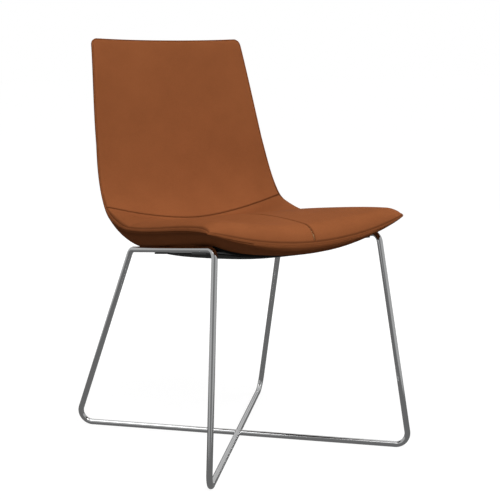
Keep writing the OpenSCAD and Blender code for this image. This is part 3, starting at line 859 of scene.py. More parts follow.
@dataclass(frozen=True)
class Panel:
    """A piece of the shell's surface with a border of rings that follow its edges."""

    form: ShellForm
    start: Side
    end: Side
    left: Side
    right: Side
    insets: tuple[float, ...]
    sewn_inset: float
    edge_inset: float
    step: float = 0.0045
    full_width: float = 0.44
    places: dict[tuple[Side, float], float] = field(default_factory=dict)

    def base(self, side: Side) -> float:
        """Returns how far the outermost ring lies in from a border."""
        return self.edge_inset if side in (Side.TOP, Side.FRONT, Side.LEFT, Side.RIGHT) else self.sewn_inset

    def s_in(self, side: Side, inset: float) -> float:
        """Gives the place at an inset from a border that runs across, and keeps it for reuse.

        Args:
            side: The border.
            inset: Distance in from the outermost ring.

        Returns:
            The place along the shell.
        """
        key = (side, round(inset, 7))
        if key not in self.places:
            self.places[key] = self.form.s_from(side, self.base(side) + inset)
        return self.places[key]

    def x_in(self, side: Side, s: np.ndarray, inset: np.ndarray | float) -> np.ndarray:
        """Returns x at an inset from a border that runs along the shell."""
        return self.form.x_from(side, s, self.base(side) + inset)

    def inner_rows(self) -> np.ndarray:
        """Spaces the rows inside the border evenly along the face.

        Returns:
            Their places along the shell.
        """
        places, run = self.form.lengths()
        ends = [self.s_in(side, self.insets[-1]) for side in (self.start, self.end)]
        near, far = np.interp(ends, places, run)
        rows = max(int((far - near) / self.step), 2)
        return np.interp(np.linspace(near, far, rows + 1), run, places)

    def inner_shares(self) -> np.ndarray:
        """Spaces the columns inside the border.

        Returns:
            Shares of the way across.
        """
        sewn_in_middle = {self.left, self.right} & {Side.MIDDLE_LEFT, Side.MIDDLE_RIGHT}
        columns = max(int(self.full_width / self.step) // (2 if sewn_in_middle else 1), 2)
        return np.linspace(0, 1, columns + 1)

    def ring_numbers(self, inner_lines: int) -> np.ndarray:
        """Returns the ring number of each line of points, from one border to the other."""
        last = len(self.insets) - 1
        return np.array([*range(last), *[last] * inner_lines, *range(last - 1, -1, -1)])

    def grid(self) -> tuple[np.ndarray, np.ndarray, np.ndarray]:
        """Lays out the panel's points.

        Returns:
            s, x and the ring number of each point; inner points have the last ring's number.
        """
        rows, shares = self.inner_rows(), self.inner_shares()
        row_ring, column_ring = self.ring_numbers(len(rows)), self.ring_numbers(len(shares))
        ring = np.minimum(row_ring[:, None], column_ring[None, :])
        s, x = np.zeros(ring.shape), np.zeros(ring.shape)
        near = np.array(self.insets)[ring]
        border = len(self.insets)
        for i, own in enumerate(row_ring):
            if border <= i < len(row_ring) - border:
                s[i] = rows[i - border + 1]
                continue
            side = self.start if i < border else self.end
            s[i] = [self.s_in(side, max(self.insets[own], inset)) for inset in near[i]]
        for j, own in enumerate(column_ring):
            if border <= j < len(column_ring) - border:
                a, b = (self.x_in(side, s[:, j], self.insets[-1]) for side in (self.left, self.right))
                x[:, j] = a + (b - a) * shares[j - border + 1]
                continue
            side = self.left if j < border else self.right
            x[:, j] = self.x_in(side, s[:, j], np.maximum(self.insets[own], near[:, j]))
        return s, x, ring


@dataclass(frozen=True)
class Gathers:
    """The small waves that a seam pulls into the leather beside it.

    They follow each other at one pitch that drifts a little, fade out over their reach and start from
    nothing at the seam itself.
    """

    depth: float = 0.00018
    pitch: float = 0.013
    drift: float = 1.7
    drift_rate: float = 41.0
    reach: float = 0.009
    flat: float = 0.003
    edge_share: float = 0.6
    middle_share: float = 0.7

    def wave(self, along: np.ndarray, away: np.ndarray) -> np.ndarray:
        """Gives the height of the waves beside a seam.

        Args:
            along: Distances along the seam.
            away: Distances from the seam.

        Returns:
            Heights from -1 to 1.
        """
        turn = along * 2 * math.pi / self.pitch + self.drift * np.sin(along * self.drift_rate)
        return np.sin(turn) * np.exp(-away / self.reach) * np.minimum(away / self.flat, 1)


@dataclass(frozen=True)
class Upholstery:
    """The sewn leather covers and the foam pads of the shell."""

    form: ShellForm
    finishes: Finishes
    gathers: Gathers = Gathers()
    # The outer cover's rolled rim, and the leather's thickness, also as a share of the shell's.
    rim: float = 0.0025
    rim_roll: float = 0.0024
    rim_steps: int = 11
    cover: float = 0.0018
    cover_share: float = 0.4
    cover_gap: float = 0.0001
    # The roll of a panel down into its seams, and the flat rings beside it.
    seam_gap: float = 0.000006
    seam_roll_r: float = 0.0044
    seam_roll_steps: int = 7
    seam_depth: float = 0.0032
    seam_share: float = 0.8
    flat_rings: tuple[float, ...] = (0.0062, 0.0095)
    # How faint the seams' grooves and painted shade are round the back, from where to where along the shell
    # they grow, and the painted shade line where the wall turns under the lip.
    back_groove: float = 0.4
    back_mark: float = 0.1
    marks_grow: tuple[float, float] = (1.7, 1.95)
    lip_shade: float = 0.5
    lip_shade_spread: float = 1.2
    lip_shade_grow: tuple[float, float] = (1.9, 2.0)
    # The wall round the edge and the rounded foot where it turns under.
    wall_steps: int = 2
    least_wall: float = 0.0008
    least_skin: float = 0.0002
    skin_step: float = 0.00002
    bottom_round: float = 0.0014
    bottom_steps: int = 7
    under_rings: tuple[float, ...] = (0.0045, 0.008, 0.0125)
    # The foam pads: their squeezed edges, and the layers that they fill between the covers.
    pad_inset: float = 0.008
    pad_step: float = 0.008
    pad_rings: tuple[float, ...] = (0.0, 0.0006, 0.0018, 0.0038, 0.007, 0.012)
    pad_squeeze: tuple[float, ...] = (0.5, 0.32, 0.17, 0.07, 0.02, 0.0)
    pad_meet: float = 0.98
    layer_cover: float = 0.002
    layer_gap: float = 0.0003
    least_foam: float = 0.0002
    core: float = 0.008
    core_share: float = 0.5
    pad_share: float = 0.6

    def roll_rings(self) -> tuple[tuple[float, ...], np.ndarray]:
        """Gives the rings where a cover rolls down into a seam.

        Returns:
            Insets of the rings and how deep each lies.
        """
        turns = np.linspace(0, math.pi / 2, self.seam_roll_steps)
        insets = tuple(self.seam_roll_r * (1 - math.cos(t)) for t in turns)
        depth = self.seam_depth * (1 - np.sin(turns))
        return (*insets, *self.flat_rings), np.append(depth, np.zeros(len(self.flat_rings)))

    def cover_panel(self, name: str, start: Side, end: Side, left: Side, right: Side,
                    node: str) -> bpy.types.Object:
        """Makes one leather panel of the sitter's side.

        Args:
            name: The piece's name.
            start: Its border nearest the top.
            end: Its border nearest the front.
            left: Its left border.
            right: Its right border.
            node: The node that it stands for.

        Returns:
            The panel.
        """
        insets, depth = self.roll_rings()
        s, x, ring = Panel(self.form, start, end, left, right, insets, self.seam_gap,
                           self.rim + self.cover_gap).grid()
        face, inward, thick = self.form.inward(s, x)
        level = self.seam_level(s)
        groove = depth[ring] * (self.back_groove + (1 - self.back_groove) * level)
        sink = np.minimum(groove, self.seam_share * thick)
        sink = sink + self.puckers(s, x, start, end, left, right)
        upper = face + inward * sink[..., None]
        lower = upper + inward * np.minimum(self.cover, self.cover_share * thick)[..., None]
        # Painted shade in the seams, strongest at the bottom of each groove.
        marks = np.sqrt(depth[ring] / self.seam_depth) * level
        piece = solid_between(name, upper, lower, self.finishes.leather, marks)
        add_to_chair(piece, Slot.LEATHER, node)
        return piece

    def seam_level(self, s: np.ndarray) -> np.ndarray:
        """Returns how strong the seams' grooves and their painted shade are at s: fainter round the back than
        round the seat.
        """
        start, end = self.marks_grow
        return self.back_mark + (1 - self.back_mark) * np.clip((s - start) / (end - start), 0, 1)

    def puckers(self, s: np.ndarray, x: np.ndarray, start: Side, end: Side, left: Side,
                right: Side) -> np.ndarray:
        """Gives the faint gathers beside each of a panel's seams.

        Args:
            s: Places along the shell.
            x: Distances from the middle.
            start: The panel's border nearest the top.
            end: The panel's border nearest the front.
            left: The panel's left border.
            right: The panel's right border.

        Returns:
            How deep each point sinks.
        """
        places, run = self.form.lengths()
        along = np.interp(s, places, run)
        from_seam = np.abs(along - np.interp(self.form.seam, places, run))
        from_edge = self.form.half_at(s, 0.0) - np.abs(x)
        out = self.gathers.edge_share * self.gathers.wave(along, from_edge)
        if Side.SEAM_ABOVE in (start, end) or Side.SEAM_BELOW in (start, end):
            out = out + self.gathers.wave(x, from_seam)
        if left is Side.MIDDLE_RIGHT or right is Side.MIDDLE_LEFT:
            out = out + self.gathers.middle_share * self.gathers.wave(along, np.abs(x))
        return self.gathers.depth * out

    def wrap(self, insets: tuple[float, ...]) -> tuple[np.ndarray, np.ndarray, np.ndarray]:
        """Returns the grid of a panel that covers the whole shell, with rings at these insets."""
        return Panel(self.form, Side.TOP, Side.FRONT, Side.LEFT, Side.RIGHT, insets, 0.0, 0.0).grid()

    def outside_depth(self, s: np.ndarray, ring: np.ndarray, thick: np.ndarray) -> np.ndarray:
        """Gives how deep the outer cover's outside lies below the face.

        Args:
            s: Places along the shell.
            ring: Ring number of each point: first the rim, then the wall, its rounded foot and the underside.
            thick: The shell's thickness at each point.

        Returns:
            The depths.
        """
        rim = self.rim_roll * (1 - np.sin(np.linspace(0, math.pi, self.rim_steps)))
        turn = np.linspace(0, 1, self.bottom_steps)
        wall_ring, foot_ring = self.rim_steps, self.rim_steps + self.wall_steps
        foot = np.maximum(self.form.at(self.form.wall, s), self.rim_roll + self.least_wall)
        start = np.maximum(foot - self.bottom_round, self.rim_roll)
        share = np.clip((ring - wall_ring + 1) / (self.wall_steps + 1), 0, 1)
        wall = self.rim_roll + (start - self.rim_roll) * share
        t = turn[np.clip(ring - foot_ring, 0, self.bottom_steps - 1)]
        rounded = (1 - t) ** 2 * start + 2 * t * (1 - t) * foot + t**2 * np.maximum(thick, foot)
        zones = [ring < wall_ring, ring < foot_ring, ring < foot_ring + self.bottom_steps]
        return np.select(zones, [rim[np.minimum(ring, wall_ring - 1)], wall, rounded], thick)

    def inside_depth(self, ring: np.ndarray, thick: np.ndarray) -> np.ndarray:
        """Gives how deep the outer cover's inside lies below the face.

        Args:
            ring: Ring number of each point.
            thick: The shell's thickness at each point.

        Returns:
            The depths.
        """
        steps = self.wall_steps + self.bottom_steps
        rising = np.clip((ring - self.rim_steps + 1) / (steps + 1), 0, 1)
        floor = np.maximum(thick - self.cover, self.rim_roll + self.least_skin)
        under = self.rim_roll + (floor - self.rim_roll) * rising
        return np.where(ring < self.rim_steps, self.rim_roll + self.skin_step * ring, under)

    def outer_painted_shade(self, s: np.ndarray, ring: np.ndarray) -> np.ndarray:
        """Gives the painted shade of the outer cover: down in the seam, and faintly where its wall turns
        under.

        Args:
            s: Places along the shell.
            ring: Ring number of each point.

        Returns:
            Marks from 0 to 1.
        """
        start, end = self.lip_shade_grow
        turned = self.rim_steps + self.wall_steps + self.bottom_steps
        near = np.exp(-((ring - turned) / self.lip_shade_spread) ** 2)
        lip = self.lip_shade * near * np.clip((s - start) / (end - start), 0, 1)
        return np.sqrt(np.maximum(1 - ring / (self.rim_steps // 2), 0)) * self.seam_level(s) + lip

    def outer_panel(self) -> bpy.types.Object:
        """Makes the outer cover: the rear and underside, the wall round the edge and its rolled rim.

        Returns:
            The cover.
        """
        rim = self.rim / 2 * (1 + np.cos(np.linspace(0, math.pi, self.rim_steps)))
        foot = self.bottom_round * np.linspace(0, 1, self.bottom_steps) ** 2
        insets = tuple(float(e) for e in (*rim, *[0.0] * self.wall_steps, *foot, *self.under_rings))
        s, x, ring = self.wrap(insets)
        face, inward, thick = self.form.inward(s, x)
        outside = face + inward * self.outside_depth(s, ring, thick)[..., None]
        s_in, x_in, _ = self.wrap(tuple(max(e, self.rim + self.cover_gap) for e in insets))
        face_in, inward_in, thick_in = self.form.inward(s_in, x_in)
        inside = face_in + inward_in * self.inside_depth(ring, thick_in)[..., None]
        piece = solid_between("outer_leather_cover", outside, inside, self.finishes.leather,
                              self.outer_painted_shade(s, ring))
        add_to_chair(piece, Slot.LEATHER, "outer_cover")
        return piece

    def pad(self, name: str, start: Side, end: Side, upper: Layer, lower: Layer,
            node: str) -> bpy.types.Object:
        """Makes a foam pad between two layers.

        Args:
            name: The piece's name.
            start: Its border nearest the top.
            end: Its border nearest the front.
            upper: Its upper face.
            lower: Its lower face.
            node: The node that it stands for.

        Returns:
            The pad.
        """
        s, x, ring = Panel(self.form, start, end, Side.LEFT, Side.RIGHT, self.pad_rings,
                           self.seam_roll_r, self.pad_inset, self.pad_step).grid()
        face, inward, thick = self.form.inward(s, x)
        a, b = self.layer_depth(upper, thick), self.layer_depth(lower, thick)
        cut = (b - a) * np.array(self.pad_squeeze)[ring]
        top = face + inward * (a + cut)[..., None]
        bottom = face + inward * (b - cut * self.pad_meet)[..., None]
        piece = solid_between(name, top, bottom, self.finishes.foam)
        add_to_chair(piece, Slot.FOAM, node)
        return piece

    def layer_depth(self, layer: Layer, thick: np.ndarray) -> np.ndarray:
        """Gives how deep a face of the pads lies below the sitter's face.

        Args:
            layer: The face.
            thick: The shell's thickness at each point.

        Returns:
            The depths.
        """
        cover, gap = self.layer_cover, self.layer_gap
        free = np.maximum(thick - 2 * cover - 4 * gap, self.least_foam)
        core = np.minimum(self.core, free * self.core_share)
        pad_top = np.full_like(thick, cover + gap)
        pad_under = pad_top + (free - core) * self.pad_share
        return {Layer.PAD_TOP: pad_top, Layer.PAD_UNDER: pad_under,
                Layer.OUTER_TOP: pad_under + 2 * gap + core, Layer.OUTER_UNDER: thick - cover - gap}[layer]

    def build(self) -> None:
        """Builds every cover and pad."""
        self.cover_panel("back_leather_cover", Side.TOP, Side.SEAM_ABOVE, Side.LEFT, Side.RIGHT, "back_cover")
        self.cover_panel("seat_leather_left", Side.SEAM_BELOW, Side.FRONT, Side.LEFT, Side.MIDDLE_LEFT,
                         "seat_cover_left")
        self.cover_panel("seat_leather_right", Side.SEAM_BELOW, Side.FRONT, Side.MIDDLE_RIGHT, Side.RIGHT,
                         "seat_cover_right")
        self.outer_panel()
        self.pad("back_foam_pad", Side.TOP, Side.SEAM_ABOVE, Layer.PAD_TOP, Layer.PAD_UNDER, "back_foam")
        self.pad("seat_foam_pad", Side.SEAM_BELOW, Side.FRONT, Layer.PAD_TOP, Layer.PAD_UNDER, "seat_foam")
        self.pad("outer_foam_pad", Side.TOP, Side.FRONT, Layer.OUTER_TOP, Layer.OUTER_UNDER, "outer_foam")


# Geometry node trees


class Inputs(Enum):
    """Names of the inputs of the geometry node trees."""

    RADIUS = "Rod radius"
    SIDES = "Sides"
    STEPS = "Steps in a bend"
    PART = "Repeated part"
    FINISH = "Finish"


def tree_with(name: str, sockets: Sequence[tuple[Inputs, str]]) -> tuple[bpy.types.NodeTree, Graph]:
    """Makes a geometry node tree with named inputs.

    Args:
        name: The tree's name.
        sockets: Each input and its socket type.

    Returns:
        The tree and its writer.
    """
    tree = bpy.data.node_groups.new(name, "GeometryNodeTree")
    tree.interface.new_socket("Geometry", in_out="INPUT", socket_type="NodeSocketGeometry")
    for label, kind in sockets:
        tree.interface.new_socket(label.value, in_out="INPUT", socket_type=kind)
    tree.interface.new_socket("Geometry", in_out="OUTPUT", socket_type="NodeSocketGeometry")
    return tree, Graph(tree)


def rod_tree() -> bpy.types.NodeTree:
    """Builds the tree that bends a rod along corner points with a bend radius at each.

    Returns:
        The tree.
    """
    tree, g = tree_with("bent_rod", [(Inputs.RADIUS, "NodeSocketFloat"), (Inputs.SIDES, "NodeSocketInt"),
                                     (Inputs.STEPS, "NodeSocketInt"), (Inputs.FINISH, "NodeSocketMaterial")])
    inlet = g.add("NodeGroupInput").outputs
    bend = g.add("GeometryNodeInputNamedAttribute", {"Name": "bend_radius"}, data_type="FLOAT")
    line = g.add("GeometryNodeMeshToCurve", {"Mesh": inlet["Geometry"]})
    fillet = g.add("GeometryNodeFilletCurve", {"Curve": line.outputs[0], "Count": inlet[Inputs.STEPS.value],
                                               "Radius": bend.outputs["Attribute"], "Limit Radius": False},
                   mode="POLY")
    ring = g.add("GeometryNodeCurvePrimitiveCircle", {"Resolution": inlet[Inputs.SIDES.value],
                                                      "Radius": inlet[Inputs.RADIUS.value]})
    tube = g.add("GeometryNodeCurveToMesh", {"Curve": fillet.outputs[0], "Profile Curve": ring.outputs[0],
                                             "Fill Caps": True})
    smooth = g.add("GeometryNodeSetShadeSmooth", {"Geometry": tube.outputs[0], "Shade Smooth": True})
    real = g.add("GeometryNodeRealizeInstances", {"Geometry": smooth.outputs[0]})
    dressed = g.add("GeometryNodeSetMaterial", {"Geometry": real.outputs[0],
                                                "Material": inlet[Inputs.FINISH.value]})
    g.add("NodeGroupOutput", {"Geometry": dressed.outputs[0]})
    return tree


def repeat_tree() -> bpy.types.NodeTree:
    """Builds the tree that sets one part on every point, turned as the point says.

    Returns:
        The tree.
    """
    tree, g = tree_with("set_on_points", [(Inputs.PART, "NodeSocketObject"),
                                          (Inputs.FINISH, "NodeSocketMaterial")])
    inlet = g.add("NodeGroupInput").outputs
    part = g.add("GeometryNodeObjectInfo", {"Object": inlet[Inputs.PART.value], "As Instance": True})
    turn = g.add("GeometryNodeInputNamedAttribute", {"Name": "turn"}, data_type="FLOAT_VECTOR")
    spots = g.add("GeometryNodeMeshToPoints", {"Mesh": inlet["Geometry"]})
    euler = g.add("FunctionNodeEulerToRotation", {0: turn.outputs["Attribute"]})
    laid = g.add("GeometryNodeInstanceOnPoints", {"Points": spots.outputs[0], "Rotation": euler.outputs[0],
                                                  "Instance": part.outputs["Geometry"]})
    real = g.add("GeometryNodeRealizeInstances", {"Geometry": laid.outputs[0]})
    dressed = g.add("GeometryNodeSetMaterial", {"Geometry": real.outputs[0],
                                                "Material": inlet[Inputs.FINISH.value]})
    g.add("NodeGroupOutput", {"Geometry": dressed.outputs[0]})
    return tree


def run_tree(name: str, tree: bpy.types.NodeTree, points: Sequence[Sequence[float]], joined: bool,
             values: dict[Inputs, object], attribute: tuple[str, str, np.ndarray]) -> bpy.types.Object:
    """Runs a geometry node tree on a set of points and keeps the result as a plain mesh.

    Args:
        name: The piece's name.
        tree: The tree.
        points: The points that it works on.
        joined: Whether the points are joined in a line, in order.
        values: Values of the tree's inputs.
        attribute: Name, type and values of the points' attribute.

    Returns:
        The finished object.
    """
    mesh = bpy.data.meshes.new(name + "_points")
    edges = [(i, i + 1) for i in range(len(points) - 1)] if joined else []
    mesh.from_pydata([tuple(p) for p in points], edges, [])
    label, kind, data = attribute
    layer = mesh.attributes.new(label, kind, "POINT")
    layer.data.foreach_set("vector" if kind == "FLOAT_VECTOR" else "value", np.asarray(data, float).ravel())
    source = bpy.data.objects.new(name + "_source", mesh)
    bpy.context.scene.collection.objects.link(source)
    modifier = source.modifiers.new("build", "NODES")
    modifier.node_group = tree
    keys = {item.name: item.identifier for item in tree.interface.items_tree if item.in_out == "INPUT"}
    for socket, value in values.items():
        modifier[keys[socket.value]] = value
    graph = bpy.context.evaluated_depsgraph_get()
    graph.update()
    made = bpy.data.meshes.new_from_object(source.evaluated_get(graph), depsgraph=graph)
    bpy.data.objects.remove(source)
    made.name = name
    piece = bpy.data.objects.new(name, made)
    bpy.context.scene.collection.objects.link(piece)
    return piece


# The base


@dataclass(frozen=True)
class RodBase:
    """The crossed rods of the base and the flat straps that are welded under their side runs."""

    form: ShellForm
    finishes: Finishes
    # The rods: their corners on the floor and under the seat, and the radii of their bends.
    rod_r: float = 0.006
    foot_w: float = 0.485
    foot_l: float = 0.541
    foot_z: float = 0.00602
    run_front: tuple[float, float, float] = (0.195, -0.219, 0.443)
    run_rear: tuple[float, float, float] = (0.18925, 0.112, 0.4005)
    floor_bend: float = 0.025
    top_bend: float = 0.018
    # The straps: their size and y, and how they bend down from the belly to the rods.
    strap_w: float = 0.053
    strap_t: float = 0.003
    strap_y: tuple[float, float] = (-0.164, -0.018)
    strap_gap: float = 0.0015
    strap_flat: float = 0.066
    strap_knee: float = 0.122
    strap_foot: float = 0.165
    strap_over: float = 0.002
    knee_gap: float = 0.001
    strap_bend: float = 0.006
    strap_bend_steps: int = 7
    strap_ease: float = 0.0006
    strap_ease_steps: int = 3
    strap_corner: float = 60.0
    # How finely the rods and the belly over the straps are measured out.
    rod_sides: int = 48
    bend_steps: int = 20
    belly_steps: int = 200
    # The smooth weld at the crossing, and the rippled welds of the straps.
    weld_r: float = 0.0028
    weld_steps: tuple[int, int] = (40, 8)
    weld_span: float = 0.985
    weld_sink: float = 0.93
    ripples: int = 24
    ripple: tuple[float, float, float] = (0.0021, 0.0014, 0.0021)
    ripple_end: float = 0.004
    ripple_in: float = 0.62

    @property
    def slope(self) -> float:
        """Angle by which the side runs fall to the rear."""
        return math.atan2(self.run_front[2] - self.run_rear[2], self.run_rear[1] - self.run_front[1])

    def run_point(self, side: int, y: float) -> tuple[float, float, float]:
        """Gives a point of a side run's middle line.

        Args:
            side: -1 left, 1 right.
            y: The chair's own y.

        Returns:
            The point in the frame.
        """
        u = (y - self.run_front[1]) / (self.run_rear[1] - self.run_front[1])
        x, z = (a + (b - a) * u for a, b in zip(self.run_front[::2], self.run_rear[::2]))
        return side * x, y + self.form.shift, z

    def foot(self, side: int, end: int) -> tuple[float, float, float]:
        """Returns a floor corner: side -1 left, 1 right; end -1 front, 1 rear."""
        return side * self.foot_w / 2, end * self.foot_l / 2 + self.form.shift, self.foot_z

    @property
    def crossing(self) -> tuple[float, float, float]:
        """Middle of the crossing on the floor."""
        return 0.0, self.form.shift, self.foot_z

    def rods(self) -> None:
        """Makes the long rod and the two short ones."""
        tree = rod_tree()
        butt = self.strap_y[0]
        top, low = self.top_bend, self.floor_bend
        paths = {
            "long_base_rod": [(self.run_point(-1, butt), 0), (self.run_point(-1, self.run_rear[1]), top),
                              (self.foot(-1, 1), low), (self.foot(1, -1), low),
                              (self.run_point(1, self.run_front[1]), top), (self.run_point(1, butt), 0)],
            "rear_base_rod": [(self.run_point(1, butt), 0), (self.run_point(1, self.run_rear[1]), top),
                              (self.foot(1, 1), low), (self.crossing, 0)],
            "front_base_rod": [(self.run_point(-1, butt), 0), (self.run_point(-1, self.run_front[1]), top),
                               (self.foot(-1, -1), low), (self.crossing, 0)],
        }
        values = {Inputs.RADIUS: self.rod_r, Inputs.SIDES: self.rod_sides, Inputs.STEPS: self.bend_steps,
                  Inputs.FINISH: self.finishes.chrome}
        for node, path in paths.items():
            points, bends = zip(*path)
            piece = run_tree(f"{node}_bright", tree, points, True, values,
                             ("bend_radius", "FLOAT", np.array(bends, float)))
            add_to_chair(piece, Slot.CHROME, node)

    def weld_section(self, a: float, b: float, turn: float) -> list[Vector]:
        """Gives one section of the weld in the corner between two rods.

        A ball rolls along the corner and touches both rods. The section follows its arc from one touch
        to the other and closes inside the rods.

        Args:
            a: Heading of the first rod.
            b: Heading of the second rod.
            turn: How far the ball has rolled, from below to above.

        Returns:
            The section's points from the middle of the crossing.
        """
        middle, half = (a + b) / 2, (b - a) / 2
        out = Vector((math.cos(middle), math.sin(middle), 0))

        def between(radius: float) -> Vector:
            """Returns the point at this distance from the middle lines of both rods."""
            return out * (radius * math.cos(turn) / math.sin(half)) + Vector((0, 0, radius * math.sin(turn)))

        big = self.rod_r + self.weld_r
        ball = between(big)
        arcs = []
        for heading in (a, b):
            axis = Vector((math.cos(heading), math.sin(heading), 0))
            on_axis = axis * ball.dot(axis)
            arcs.append(on_axis + (ball - on_axis) * (self.rod_r / big) - ball)
        angle = arcs[0].angle(arcs[1], 0.0)
        steps = self.weld_steps[1]
        section = []
        for share in (k / steps for k in range(steps + 1)):
            swing = arcs[0] * math.sin((1 - share) * angle) + arcs[1] * math.sin(share * angle)
            section.append(ball + swing / math.sin(angle))
        return [*section, between(self.rod_r * self.weld_sink)]

    def crossing_weld(self) -> None:
        """Makes the smooth ground weld that joins the rods where they cross on the floor."""
        centre = Vector(self.crossing)
        heading = math.atan2(self.foot_l, self.foot_w)
        arms = [heading, math.pi - heading, math.pi + heading, 2 * math.pi - heading]
        steps, per = self.weld_steps[0], self.weld_steps[1] + 2
        points, faces = [], []
        for a, b in zip(arms, arms[1:] + [arms[0] + 2 * math.pi]):
            first = len(points)
            for i in range(steps + 1):
                section = self.weld_section(a, b, math.pi * (i / steps - 0.5) * self.weld_span)
                points += [tuple(centre + spot) for spot in section]
            for i in range(steps):
                for k in range(per):
                    p, q = first + i * per + k, first + i * per + (k + 1) % per
                    faces.append((p, q, q + per, p + per))
            faces.append(tuple(first + k for k in range(per)))
            faces.append(tuple(first + steps * per + k for k in range(per)))
        piece = new_piece("crossing_weld", np.array(points), faces, self.finishes.chrome, merge=1e-7)
        add_to_chair(piece, Slot.CHROME)

    def over_runs(self, x: float, y: float) -> float:
        """Gives the height of the leather's underside over the plane of the side runs.

        Args:
            x: Distance from the middle.
            y: The chair's own y.

        Returns:
            The height, square to the plane.
        """
        s = np.linspace(self.form.last, self.form.seam, self.belly_steps)
        p = self.form.outer(s, np.full_like(s, x))
        z = np.interp(y + self.form.shift, p[:, 1], p[:, 2])
        return (z - self.run_point(1, y)[2]) * math.cos(self.slope)

    def strap_top(self, x: float, y: float) -> float:
        """Returns the height of a strap's top over the plane of the runs, under the leather at x."""
        spots = (y - self.strap_w / 2, y, y + self.strap_w / 2)
        return min(self.over_runs(x, t) for t in spots) - self.strap_gap

    def on_runs(self, y: float) -> Matrix:
        """Returns the place of a strap: a frame in the plane of the side runs."""
        return Matrix.Translation(self.run_point(0, y)) @ Matrix.Rotation(-self.slope, 4, "X")

    def strap_line(self, y: float) -> np.ndarray:
        """Gives the top line of a strap from left to right, with round bends.

        Args:
            y: The chair's own y.

        Returns:
            Points of x and height.
        """
        end = self.run_point(1, y)[0] + self.strap_over
        knee = min(self.strap_top(self.strap_knee, y) - self.knee_gap, -self.rod_r)
        half = [(0.0, self.strap_top(0, y)), (self.strap_flat, self.strap_top(0, y)), (self.strap_knee, knee),
                (self.strap_foot, -self.rod_r), (end, -self.rod_r)]
        line = [np.array(half[0])]
        for a, b, c in zip(half, half[1:], half[2:]):
            a, b, c = map(np.array, (a, b, c))
            back, on = (a - b) / np.linalg.norm(a - b), (c - b) / np.linalg.norm(c - b)
            for u in np.linspace(0, 1, self.strap_bend_steps):
                line.append(b + self.strap_bend * ((1 - u) ** 2 * back + u**2 * on))
        line.append(np.array(half[-1]))
        right = np.array(line)
        return np.concatenate([right[:0:-1] * [-1, 1], right])

    def straps(self) -> None:
        """Makes the two straps with eased edges."""
        for node, y in zip(("front_strap", "rear_strap"), self.strap_y):
            line = self.strap_line(y)
            rows = np.array([-0.5, 0.5]) * self.strap_w
            top = np.array([[(x, r, z) for x, z in line] for r in rows])
            low = top - np.array([0, 0, self.strap_t])
            piece = solid_between(f"{node}_pressed", top, low, self.finishes.strap)
            piece.data.transform(self.on_runs(y))
            bevel = piece.modifiers.new("eased_edges", "BEVEL")
            bevel.width, bevel.segments = self.strap_ease, self.strap_ease_steps
            bevel.angle_limit = math.radians(self.strap_corner)
            smooth_by_angle(piece, degrees=35)
            add_to_chair(piece, Slot.CHROME, node)

    def welds(self) -> None:
        """Makes the rippled weld beads between the straps and the rods."""
        ripple = ball_mesh("weld_ripple", self.ripple, around=12, up=8)
        spots = []
        for y in self.strap_y:
            place = self.on_runs(y)
            inner = self.run_point(1, y)[0] - self.rod_r * self.ripple_in
            for side in (-1, 1):
                for share in (i / (self.ripples - 1) for i in range(self.ripples)):
                    along = (share - 0.5) * (self.strap_w - 2 * self.ripple_end)
                    spots.append(place @ Vector((side * inner, along, -self.rod_r * self.weld_sink)))
        turns = [(-self.slope, 0.0, 0.0)] * len(spots)
        piece = run_tree("rippled_strap_welds", repeat_tree(), spots, False,
                         {Inputs.PART: ripple, Inputs.FINISH: self.finishes.chrome},
                         ("turn", "FLOAT_VECTOR", np.array(turns)))
        bpy.data.objects.remove(ripple)
        add_to_chair(piece, Slot.CHROME, "strap_welds")

    def build(self) -> None:
        """Builds the whole base."""
        self.rods()
        self.crossing_weld()
        self.straps()
        self.welds()


def smooth_by_angle(piece: bpy.types.Object, degrees: float) -> None:
    """Smooths a piece except over edges sharper than an angle.

    Args:
        piece: The piece.
        degrees: The angle.
    """
    mesh = piece.data
    mesh.shade_smooth()
    bm = bmesh.new()
    bm.from_mesh(mesh)
    limit = math.radians(degrees)
    for edge in bm.edges:
        if len(edge.link_faces) == 2:
            edge.smooth = edge.calc_face_angle(0.0) < limit
    bm.to_mesh(mesh)
    bm.free()


def ball_mesh(name: str, size: tuple[float, float, float], around: int, up: int) -> bpy.types.Object:
    """Makes a small ellipsoid to be repeated.

    Args:
        name: The object's name.
        size: Its half sizes.
        around: Points round it.
        up: Rings from pole to pole.

    Returns:
        The new object.
    """
    bm = bmesh.new()
    bmesh.ops.create_uvsphere(bm, u_segments=around, v_segments=up, radius=1.0,
                              matrix=Matrix.Diagonal((*size, 1)))
    mesh = bpy.data.meshes.new(name)
    bm.to_mesh(mesh)
    bm.free()
    mesh.shade_smooth()
    thing = bpy.data.objects.new(name, mesh)
    bpy.context.scene.collection.objects.link(thing)
    return thing


def hexagon_reach(angle: float) -> float:
    """Returns the distance from a hexagon's middle to its outline, where its corners lie at 1."""
    return math.cos(math.pi / 6) / math.cos(angle % (math.pi / 3) - math.pi / 6)


